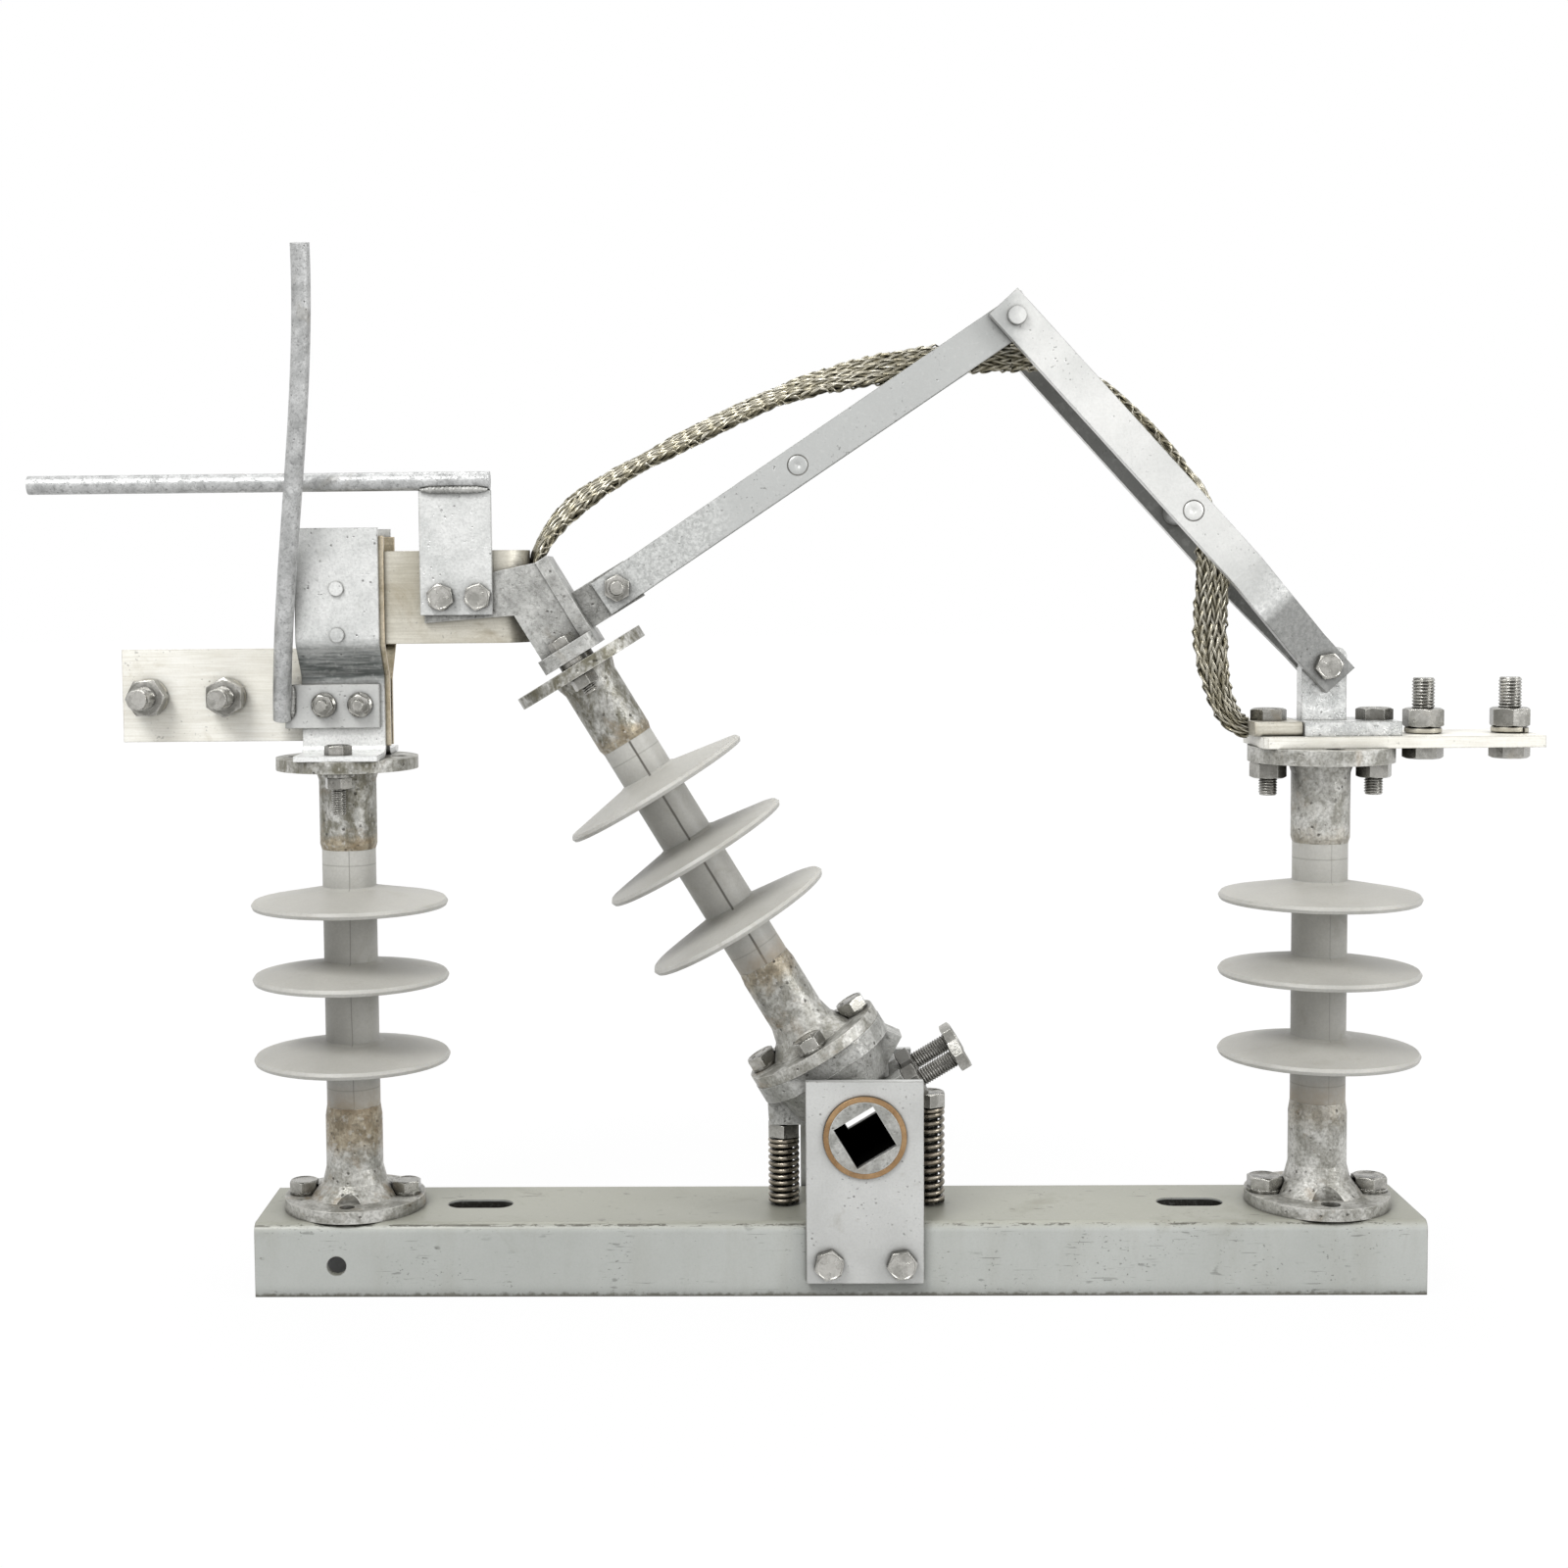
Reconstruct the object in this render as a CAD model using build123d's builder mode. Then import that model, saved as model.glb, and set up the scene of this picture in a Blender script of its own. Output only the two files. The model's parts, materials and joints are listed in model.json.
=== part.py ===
from build123d import *
import math
import os

# One pole of an outdoor disconnect switch, standing on its base channel and shown closed.
# X runs along the channel, Y goes away from the viewer, Z is up, and z = 0 is the channel's top.
# All sizes are in millimetres.

os.makedirs("parts", exist_ok=True)

# Base channel
channel_length = 628.0
channel_width = 75.0
channel_height = 40.0
channel_wall = 5.0
channel_corner = 5.0
channel_root = 3.0
slot_gap = 18.0
slot_length = 36.0
slot_width = 16.0
earth_hole_d = 10.5
earth_hole_in = 44.3
earth_hole_drop = 23.1

# Clearances
bolt_clearance = 0.25
pin_clearance = 0.10
press_gap = 0.05
contact_clearance = 0.40
stop_clearance = 0.30
knee_clearance = 1.2

# Hexagon bolts: shank diameter, across flats, head height, nut height
m8, m8_flats, m8_head, m8_nut = 8.0, 13.0, 5.3, 6.5
m10, m10_flats, m10_head, m10_nut = 10.0, 17.0, 6.4, 8.0
m12, m12_flats, m12_head, m12_nut = 12.0, 19.0, 7.5, 10.2
m6, m6_flats, m6_head, m6_nut, m6_collar = 6.4, 10.5, 4.2, 5.5, 7.0
bolt_tail = 4.0
short_tail = 3.0

# Post insulators
post_spacing = 530.0
insulator_height = 249.7
flange_radius = 38.7
flange_wall = 6.6
thick_flange_wall = 8.5
collar_wall = 1.2
flange_bolt_circle = 57.0
neck_radius = 15.6
neck_flare = 8.9
neck_root = 2.0
neck_fillet_height = 8.0
neck_shoulder = 6.0
lower_fitting_height = 57.0
upper_fitting_height = 50.7
housing_radius = 14.7
shed_radius = 53.7
shed_edge = 3.6
shed_slope = 8.0
shed_sunk = 1.0
shed_root = 3.0
shed_root_drop = 1.6
shed_round_top = 1.2
shed_round_under = 0.8
shed_under_rise = 2.4
shed_under_drop = 1.0
shed_heights = (83.6, 128.0, 169.0)

# Tilting pivot and its brackets
pivot_x = 14.6
pivot_z = 47.7
lean = 31.1
bracket_width = 62.6
bracket_top = 77.6
bracket_bottom = -31.7
bracket_wall = 5.0
bracket_bolt_spacing = 38.8
bracket_bolt_flats = 14.5
bracket_bolt_z = -20.8
bush_outer = 22.15
bush_inner = 19.4
bush_proud = 1.8
drive_square = 24.6

# Rocker casting, in the leaning frame: t across, s along the insulator
rocker_seat = 45.0
rocker_flange_wall = 9.5
rocker_flange_radius = 39.0
rocker_half_depth = 33.0
rocker_foot_radius = 19.4
rocker_waist_radius = 29.0
rocker_waist_s = 18.0
rocker_neck_radius = 34.0
arm_root_t = 8.0
arm_root_s = 6.0
arm_slope = 8.3
arm_half_depth = 9.5
arm_outer = 43.6
arm_inner = 26.9
arm_outer_s = 24.6
arm_inner_s = 14.5
open_arm_lift = 4.2
stop_bolt_s = 6.5
stop_bolt_y = 20.0
stop_boss_t = 33.0
stop_boss_half = 8.5
stop_bolt_d = 9.6
stop_bolt_end = 62.0
stop_bolt_tail = 13.0

# Buffer springs and their guide bolts
closed_spring_reach = 42.0
open_spring_reach = 38.0
spring_outer = 8.6
spring_wire = 2.6
guide_head = 7.6
guide_flats = 16.6
closed_spring_top = 38.3
open_spring_top = 54.8

# Head casting, in the leaning frame
head_shim = 3.0
head_base_wall = 8.0
head_base_left = -16.0
head_base_right = 17.0
head_base_corner = 6.0
head_washer = 8.0
head_base_half = 37.0
web_wall = 3.8
web_left = -14.5
rib_left = 10.0
rib_right = 17.0
rib_height = 46.3
web_height = 28.3
rib_half = 23.5
lug_end = 50.0
lug_height = 22.0
lug_half = 6.0
lug_pin_t = 39.8
lug_pin_height = 11.9
arm_reach = 19.2
arm_under = 13.8
arm_over = 9.4
arm_corner_x = 18.1
arm_corner_z = 13.3

# Moving contact, a folded strip
contact_half = 18.0
contact_wall = 3.0
contact_gap = 2.5
contact_height = 49.7
contact_in_jaw = 18.0
contact_fold_reach = 17.8

# Moving horn on its bracket
bracket_plate_wall = 4.0
horn_radius = 5.0
moving_horn_length = 247.0
moving_horn_end = 17.0
horn_plate_reach = 21.0
horn_plate_width = 38.5
horn_plate_under = 9.5
horn_plate_height = 66.2
contact_bolt_reach = 83.6
contact_bolt_spacing = 19.8
contact_bolt_rise = 24.8

# Folding links
inner_arm_length = 254.74
outer_arm_length = 250.92
bar_width = 20.0
bar_wall = 6.0
bar_end = 10.5
inner_bar_y = 13.0
outer_bar_y = 21.0
bar_straight = 14.0
inner_bend_end = 66.0
outer_bend_end = 70.0
spacer_rivet = 5.3
spacer_body = 6.6
inner_rivet_at = 116.6
outer_rivet_at = 112.2
knee_pin_radius = 4.8
knee_pin_proud = 3.6

# Hinge post
hinge_width = 24.0
hinge_half = 5.0
hinge_height = 39.3
hinge_pin_drop = 9.8
hinge_corner = 5.0
hinge_plate_reach = 14.0
hinge_plate_length = 51.5
hinge_plate_half = 20.0
hinge_plate_wall = 7.7

# Terminals
pad_wall = 6.2
pad_reach = 36.5
pad_length = 148.3
pad_half = 25.0
pad_cut = 2.0
pad_stud_reach = 78.0
pad_stud_spacing = 46.5
stud_reach = 30.0
stud_shank = 11.2
strip_wall = 6.0
strip_in = 19.0
strip_length = 141.0
strip_rise = 8.8
strip_height = 50.5
strip_stud_reach = 85.2
strip_stud_spacing = 42.8
strip_stud_rise = 24.7
washer_wall = 3.4
washer_radius = 9.8
post_nut = 9.0
post_tail = 9.3

# Jaw of the fixed contact
jaw_width = 45.0
jaw_wall = 3.0
jaw_foot_half = 38.0
jaw_height = 124.1
jaw_joggle_rise = 44.3
jaw_joggle_height = 18.0
jaw_bend = 4.0
finger_wall = 3.0
finger_rise = 6.2
finger_drop = 4.4
finger_proud = 2.5
rivet_radius = 3.9
rivet_neck = 2.9
rivet_head = 1.6
rivet_drop = 32.4
rivet_spacing = 24.8
clamp_reach = 31.0
clamp_length = 51.2
clamp_rise = 16.3
clamp_height = 23.7
clamp_wall = 4.0
clamp_bolt_spacing = 19.6
clamp_bolt_rise = 12.6
jaw_bolt_washer = 2.0
jaw_bolt_washer_radius = 8.5
jaw_bolt_tail = 14.0

# Fixed horn: how far it stands left of the jaw and in front of the middle, and its height
horn_foot_out = 32.6
horn_foot_front = 13.0
horn_foot_rise = 5.0
horn_top_out = 8.0
horn_top_front = 66.0
horn_height = 247.0

# Tinned lug of the braid, and the braid
braid_lug_reach = 40.0
braid_lug_wall = 7.7
braid_lug_half = 18.0
braid_lug_edge = 2.5
braid_lug_gap = 0.5
braid_radius = 5.0
braid_gap = 0.2
braid_start = 28.3
braid_lead = 12.2
braid_under_knee = 18.2
braid_inside_lug = 6.0

# Derived positions
lean_cos = math.cos(math.radians(lean))
lean_sin = math.sin(math.radians(lean))
post_x = post_spacing / 2
half_width = channel_width / 2
bracket_face = half_width + bracket_wall
bolt_reach = flange_bolt_circle / 2
thick_top = insulator_height - flange_wall + thick_flange_wall
pad_top = thick_top + pad_wall
hinge_plate_top = pad_top + hinge_plate_wall
hinge_x = post_x
hinge_top = hinge_plate_top + hinge_height
hinge_z = hinge_top - hinge_pin_drop
hinge_plate_left = hinge_x - hinge_plate_reach
pad_left = post_x - pad_reach
pad_stud_x = post_x + pad_stud_reach
braid_lug_left = post_x - braid_lug_reach
slot_x = post_x - bolt_reach - m10 / 2 - slot_gap - slot_length / 2
tilt_top = rocker_seat + insulator_height
head_base = tilt_top + head_shim
head_floor = head_base + head_base_wall
rib_top = head_floor + rib_height
web_front = contact_half + web_wall
horn_plate_front = web_front + bracket_plate_wall
lug_pin_s = head_floor + lug_pin_height
lug_x = pivot_x - lean_sin * lug_pin_s + lean_cos * lug_pin_t
lug_z = pivot_z + lean_cos * lug_pin_s + lean_sin * lug_pin_t
strip_bottom = insulator_height + strip_rise
strip_top = strip_bottom + strip_height
strip_right = strip_in - post_x
strip_stud_x = -post_x - strip_stud_reach
strip_stud_z = strip_bottom + strip_stud_rise
contact_bottom = strip_top + contact_gap
contact_top = contact_bottom + contact_height
contact_left = -post_x - contact_in_jaw
contact_bolt_x = lug_x - contact_bolt_reach
contact_bolt_z = contact_bottom + contact_bolt_rise
contact_fold_x = contact_bolt_x + contact_fold_reach
horn_plate_left = contact_bolt_x - horn_plate_reach
horn_plate_bottom = contact_bolt_z - horn_plate_under
horn_plate_top = horn_plate_bottom + horn_plate_height
jaw_joggle_low = insulator_height + jaw_joggle_rise
jaw_joggle_high = jaw_joggle_low + jaw_joggle_height
jaw_top = insulator_height + jaw_height
finger_bottom = insulator_height + finger_rise
finger_top = jaw_top - finger_drop
rivet_high_z = jaw_top - rivet_drop
rivet_low_z = rivet_high_z - rivet_spacing
clamp_left = -post_x - clamp_reach
clamp_bottom = insulator_height + clamp_rise
clamp_bolt_x = -post_x
clamp_bolt_z = clamp_bottom + clamp_bolt_rise
strip_half = strip_wall / 2
finger_low = strip_half + finger_wall
jaw_low = finger_low + jaw_wall
finger_high = contact_half + contact_clearance
jaw_high_in = finger_high + finger_wall
jaw_high = jaw_high_in + jaw_wall
clamp_face = jaw_low + clamp_wall

# The knee stands where the two arms meet
span_x, span_z = hinge_x - lug_x, hinge_z - lug_z
span = math.hypot(span_x, span_z)
along = (inner_arm_length ** 2 - outer_arm_length ** 2 + span ** 2) / (2 * span)
above = math.sqrt(inner_arm_length ** 2 - along ** 2)
knee_x = lug_x + (along * span_x - above * span_z) / span
knee_z = lug_z + (along * span_z + above * span_x) / span
print("knee", round(knee_x, 2), round(knee_z, 2), "lug pin", lug_x, lug_z)


def facing(x, y, z):
    # a plane that faces the viewer: sketch x is X, sketch y is Z, extrusion comes forward
    return Plane(origin=(x, y, z), x_dir=(1, 0, 0), z_dir=(0, -1, 0))


def backing(x, y, z):
    # the same from behind
    return Plane(origin=(x, y, z), x_dir=(-1, 0, 0), z_dir=(0, 1, 0))


def leaning(y):
    # faces the viewer and leans with the tilting insulator: sketch x is t, sketch y is s
    return Plane(origin=(pivot_x, y, pivot_z), x_dir=(lean_cos, 0, lean_sin), z_dir=(0, -1, 0))


def level(x, y, z):
    return Plane(origin=(x, y, z), x_dir=(1, 0, 0), z_dir=(0, 0, 1))


def along_lean(t, y, s):
    # looks down the tilting insulator's axis
    point = leaning(y).from_local_coords(Vector(t, s, 0))
    return Plane(origin=point, x_dir=(lean_cos, 0, lean_sin), z_dir=(-lean_sin, 0, lean_cos))


def across_lean(t, y, s):
    # looks along t, away from the pivot
    point = leaning(y).from_local_coords(Vector(t, s, 0))
    return Plane(origin=point, x_dir=(0, 1, 0), z_dir=(lean_cos, 0, lean_sin))


def lean_point(t, s):
    # the X and Z of a point given across and along the tilting insulator
    point = leaning(0).from_local_coords(Vector(t, s, 0))
    return (point.X, point.Z)


def bolt(seat, size, flats, head, grip, nut, tail):
    # a hexagon bolt whose head stands on the seat plane, with its nut at the far side of the grip
    with BuildPart() as made:
        with BuildSketch(seat):
            RegularPolygon(flats / 2, 6, major_radius=False)
        extrude(amount=head)
        with BuildSketch(seat):
            Circle(size / 2)
        extrude(amount=-(grip + nut + tail))
        if nut:
            with BuildSketch(seat.offset(-grip)):
                RegularPolygon(flats / 2, 6, major_radius=False)
            extrude(amount=-nut)
    return made.part


def washer_stud(seat, grip):
    # a terminal stud: nut and washer on the seat side, hexagon head on the far side
    with BuildPart() as made:
        with BuildSketch(seat):
            Circle(washer_radius)
        extrude(amount=washer_wall)
        with BuildSketch(seat.offset(washer_wall)):
            RegularPolygon(m12_flats / 2, 6, major_radius=False)
        extrude(amount=m12_nut)
        with BuildSketch(seat.offset(-grip)):
            Circle(stud_shank / 2)
        extrude(amount=grip)
        with BuildSketch(seat):
            Circle(m12 / 2)
        extrude(amount=stud_reach)
        with BuildSketch(seat.offset(-grip)):
            RegularPolygon(m12_flats / 2, 6, major_radius=False)
        extrude(amount=-m12_head)
    return made.part


def flange_holes(foot, radius):
    # four circles on an insulator flange, two along X or t and two along Y
    with BuildSketch(foot) as holes:
        with Locations((bolt_reach, 0), (-bolt_reach, 0), (0, bolt_reach), (0, -bolt_reach)):
            Circle(radius)
    return holes.sketch


def lower_fitting(stand, foot, size):
    with BuildPart() as made:
        with BuildSketch(stand):
            with BuildLine():
                Polyline(
                    (0, 0), (flange_radius, 0), (flange_radius, flange_wall),
                    (neck_radius + neck_flare, flange_wall),
                    (neck_radius + neck_root, flange_wall + neck_fillet_height),
                    (neck_radius, flange_wall + 2 * neck_fillet_height),
                    (neck_radius, lower_fitting_height - neck_shoulder),
                    (housing_radius, lower_fitting_height), (0, lower_fitting_height), (0, 0),
                )
            make_face()
        revolve(axis=Axis(stand.origin, stand.y_dir))
        extrude(flange_holes(foot, size / 2 + bolt_clearance), amount=flange_wall * 2, mode=Mode.SUBTRACT)
        extrude(flange_holes(foot.offset(flange_wall), size + bolt_clearance), amount=neck_radius,
                mode=Mode.SUBTRACT)
    return made.part


def upper_fitting(stand, foot, size, wall):
    low = insulator_height - upper_fitting_height
    under = insulator_height - flange_wall
    top = under + wall
    with BuildPart() as made:
        with BuildSketch(stand):
            with BuildLine():
                Polyline(
                    (0, low), (housing_radius, low), (neck_radius, low + neck_shoulder / 2),
                    (neck_radius, under - neck_shoulder), (neck_radius + neck_root, under),
                    (flange_radius, under),
                    (flange_radius, top), (0, top), (0, low),
                )
            make_face()
        revolve(axis=Axis(stand.origin, stand.y_dir))
        extrude(flange_holes(foot, size / 2 + bolt_clearance), amount=-wall * 2, mode=Mode.SUBTRACT)
    return made.part


def housing(stand):
    low = lower_fitting_height
    high = insulator_height - upper_fitting_height
    with BuildPart() as made:
        with BuildSketch(stand):
            with Locations((housing_radius / 2, (low + high) / 2)):
                Rectangle(housing_radius, high - low)
            for shed in shed_heights:
                rim_top = shed + shed_edge / 2
                rim_under = shed - shed_edge / 2
                with BuildLine():
                    Polyline(
                        (housing_radius - shed_sunk, rim_top + shed_slope),
                        (housing_radius + shed_root, rim_top + shed_slope - shed_root_drop),
                        (shed_radius - shed_round_top, rim_top),
                        (shed_radius, shed), (shed_radius - shed_round_under, rim_under),
                        (housing_radius + shed_root, rim_under + shed_under_rise),
                        (housing_radius - shed_sunk, rim_under + shed_under_drop),
                        (housing_radius - shed_sunk, rim_top + shed_slope),
                    )
                make_face()
        revolve(axis=Axis(stand.origin, stand.y_dir))
    return made.part


def save(part, name):
    part.label = name
    export_step(part, "parts/" + name + ".step")


# Base channel with its mounting slots and bolt holes
with BuildPart() as base_channel:
    with BuildSketch(Plane.YZ.offset(-channel_length / 2)):
        with Locations((0, -channel_height / 2)):
            Rectangle(channel_width, channel_height)
        with Locations((0, -channel_height / 2 - channel_wall)):
            Rectangle(channel_width - 2 * channel_wall, channel_height, mode=Mode.SUBTRACT)
    extrude(amount=channel_length)
    long_edges = base_channel.edges().filter_by(Axis.X)
    fillet(long_edges.group_by(Axis.Z)[-1], channel_corner)
    fillet(long_edges.group_by(Axis.Z)[-2], channel_root)
    with BuildSketch(level(0, 0, 0)):
        with Locations((-slot_x, 0), (slot_x, 0)):
            SlotOverall(slot_length, slot_width)
        with Locations((-post_x - bolt_reach, 0), (-post_x + bolt_reach, 0)):
            Circle(m8 / 2 + bolt_clearance)
        with Locations((post_x - bolt_reach, 0), (post_x + bolt_reach, 0)):
            Circle(m10 / 2 + bolt_clearance)
        with Locations((pivot_x - closed_spring_reach, 0), (pivot_x + open_spring_reach, 0)):
            Circle(m10 / 2 + bolt_clearance)
    extrude(amount=-channel_wall * 2, mode=Mode.SUBTRACT)
    with BuildSketch(facing(0, 0, 0)):
        with Locations((pivot_x - bracket_bolt_spacing / 2, bracket_bolt_z),
                       (pivot_x + bracket_bolt_spacing / 2, bracket_bolt_z)):
            Circle(m8 / 2 + bolt_clearance)
    extrude(amount=channel_width, both=True, mode=Mode.SUBTRACT)
    with BuildSketch(facing(0, -half_width + channel_wall * 2, 0)):
        with Locations((-channel_length / 2 + earth_hole_in, -earth_hole_drop)):
            Circle(earth_hole_d / 2)
    extrude(amount=channel_wall * 3, mode=Mode.SUBTRACT)
save(base_channel.part, "base_channel")

# Pivot brackets, one on each flange of the channel
with BuildPart() as pivot_brackets:
    for side in (-1, 1):
        with BuildSketch(facing(0, side * half_width, 0)):
            with Locations((pivot_x, (bracket_top + bracket_bottom) / 2)):
                Rectangle(bracket_width, bracket_top - bracket_bottom)
            with Locations((pivot_x, pivot_z)):
                Circle(bush_outer + press_gap, mode=Mode.SUBTRACT)
            with Locations((pivot_x - bracket_bolt_spacing / 2, bracket_bolt_z),
                           (pivot_x + bracket_bolt_spacing / 2, bracket_bolt_z)):
                Circle(m8 / 2 + bolt_clearance, mode=Mode.SUBTRACT)
        extrude(amount=-side * bracket_wall)
save(pivot_brackets.part, "pivot_brackets")

# Bronze bushes in the brackets
with BuildPart() as pivot_bushes:
    for side in (-1, 1):
        with BuildSketch(facing(pivot_x, side * (half_width - 1.0), pivot_z)):
            Circle(bush_outer)
            Circle(bush_inner, mode=Mode.SUBTRACT)
        extrude(amount=-side * (bracket_wall + 1.0 + bush_proud))
save(pivot_bushes.part, "pivot_bushes")

# Bolts that hold the brackets to the channel
bracket_grip = bracket_wall + channel_wall
bracket_bolts = Compound(children=[
    bolt(place(pivot_x + side * bracket_bolt_spacing / 2, depth, bracket_bolt_z),
         m8, bracket_bolt_flats, m8_head, bracket_grip, m8_nut, bolt_tail)
    for place, depth in ((facing, -bracket_face), (backing, bracket_face))
    for side in (-1, 1)
])
save(bracket_bolts, "bracket_bolts")

# Three post insulators: two upright, one on the rocker
left_stand, left_foot = facing(-post_x, 0, 0), level(-post_x, 0, 0)
right_stand, right_foot = facing(post_x, 0, 0), level(post_x, 0, 0)
tilt_stand, tilt_foot = leaning(0), along_lean(0, 0, rocker_seat)
tilt_stand = Plane(origin=tilt_foot.origin, x_dir=tilt_stand.x_dir, z_dir=tilt_stand.z_dir)
top_offset = insulator_height + 1.0

save(lower_fitting(left_stand, left_foot, m8), "left_lower_fitting")
save(housing(left_stand), "left_housing")
save(upper_fitting(left_stand, left_foot.offset(top_offset), m8, flange_wall), "left_upper_fitting")
save(lower_fitting(right_stand, right_foot, m10), "right_lower_fitting")
save(housing(right_stand), "right_housing")
save(upper_fitting(right_stand, right_foot.offset(thick_top + 1.0), m10, thick_flange_wall),
     "right_upper_fitting")
save(lower_fitting(tilt_stand, tilt_foot, m8), "tilt_lower_fitting")
save(housing(tilt_stand), "tilt_housing")
save(upper_fitting(tilt_stand, tilt_foot.offset(top_offset), m8, flange_wall), "tilt_upper_fitting")

# Foot bolts of the upright insulators
foot_grip = flange_wall + channel_wall
foot_bolts = Compound(children=[
    bolt(level(-post_x + side * bolt_reach, 0, flange_wall),
         m8, m8_flats, m8_head, foot_grip, m8_nut, bolt_tail) for side in (-1, 1)
] + [
    bolt(level(post_x + side * bolt_reach, 0, flange_wall),
         m10, m10_flats, m10_head, foot_grip, m10_nut, bolt_tail) for side in (-1, 1)
])
save(foot_bolts, "foot_bolts")

# Guide bolts and buffer springs, left one pressed short, right one free
spring_bolts = Compound(children=[
    bolt(level(pivot_x + reach, 0, top),
         m10, guide_flats, guide_head, top + channel_wall, m10_nut, bolt_tail)
    for reach, top in ((-closed_spring_reach, closed_spring_top), (open_spring_reach, open_spring_top))
])
save(spring_bolts, "spring_bolts")
with BuildPart() as buffer_springs:
    for reach, top in ((-closed_spring_reach, closed_spring_top), (open_spring_reach, open_spring_top)):
        with BuildSketch(level(pivot_x + reach, 0, 0)):
            Circle(spring_outer)
            Circle(spring_outer - spring_wire, mode=Mode.SUBTRACT)
        extrude(amount=top)
save(buffer_springs.part, "buffer_springs")

# Rocker casting with its hub, square drive hole, arms and stop bosses
hub_half = bracket_face + bush_proud
arm_top = rocker_seat - rocker_flange_wall / 2
with BuildPart() as rocker:
    with BuildSketch(leaning(0)):
        Circle(bush_inner - pin_clearance)
    extrude(amount=hub_half, both=True)
    with BuildSketch(leaning(0)):
        with BuildLine():
            Polyline((0, 0), (rocker_foot_radius, 0), (rocker_waist_radius, rocker_waist_s),
                     (rocker_neck_radius, rocker_seat - rocker_flange_wall),
                     (0, rocker_seat - rocker_flange_wall), (0, 0))
        make_face()
    revolve(axis=Axis(leaning(0).origin, leaning(0).y_dir))
    with BuildSketch(along_lean(0, 0, rocker_seat)):
        Circle(rocker_flange_radius)
        Rectangle(3 * rocker_flange_radius, 2 * rocker_half_depth, mode=Mode.INTERSECT)
    extrude(amount=-rocker_flange_wall)
    with BuildSketch(leaning(0)):
        with BuildLine():
            Polyline((-arm_outer, arm_outer_s), (-arm_inner, arm_inner_s), (-arm_root_t, arm_root_s),
                     (-arm_root_t, arm_top), (-arm_outer + arm_slope, arm_top), (-arm_outer, arm_outer_s))
        make_face()
        with BuildLine():
            Polyline((arm_outer, arm_outer_s + open_arm_lift), (arm_inner, arm_inner_s + open_arm_lift),
                     (arm_root_t, arm_root_s), (arm_root_t, arm_top), (arm_outer - arm_slope, arm_top),
                     (arm_outer, arm_outer_s + open_arm_lift))
        make_face()
    extrude(amount=arm_half_depth, both=True)
    for side in (-1, 1):
        with BuildSketch(across_lean(0, side * stop_bolt_y, stop_bolt_s)):
            Rectangle(1.65 * stop_boss_half, 2 * stop_boss_half)
        extrude(amount=stop_boss_t)
        with BuildSketch(across_lean(stop_boss_t, side * stop_bolt_y, stop_bolt_s)):
            Circle(stop_bolt_d / 2 + press_gap)
        extrude(amount=-stop_bolt_tail - 1, mode=Mode.SUBTRACT)
    with BuildSketch(leaning(0)):
        Rectangle(drive_square, drive_square)
    extrude(amount=2 * hub_half, both=True, mode=Mode.SUBTRACT)
    extrude(flange_holes(along_lean(0, 0, rocker_seat + 1), m8 / 2 + bolt_clearance),
            amount=-rocker_flange_wall * 2, mode=Mode.SUBTRACT)
save(rocker.part, "rocker")

# Adjusting bolts on the rocker with their lock nuts
stop_grip = stop_bolt_end - stop_boss_t
stop_bolts = Compound(children=[
    bolt(across_lean(stop_bolt_end, side * stop_bolt_y, stop_bolt_s),
         stop_bolt_d, guide_flats, m10_head, stop_grip - m10_nut, m10_nut, stop_bolt_tail)
    for side in (-1, 1)
])
save(stop_bolts, "stop_bolts")

# Bolts between the rocker and the tilting insulator
tilt_grip = flange_wall + rocker_flange_wall
tilt_foot_bolts = Compound(children=[
    bolt(along_lean(t, y, rocker_seat + flange_wall), m8, m8_flats, m8_head, tilt_grip, 0, 0.5)
    for t, y in ((bolt_reach, 0), (-bolt_reach, 0), (0, bolt_reach), (0, -bolt_reach))
])
save(tilt_foot_bolts, "tilt_foot_bolts")

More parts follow.
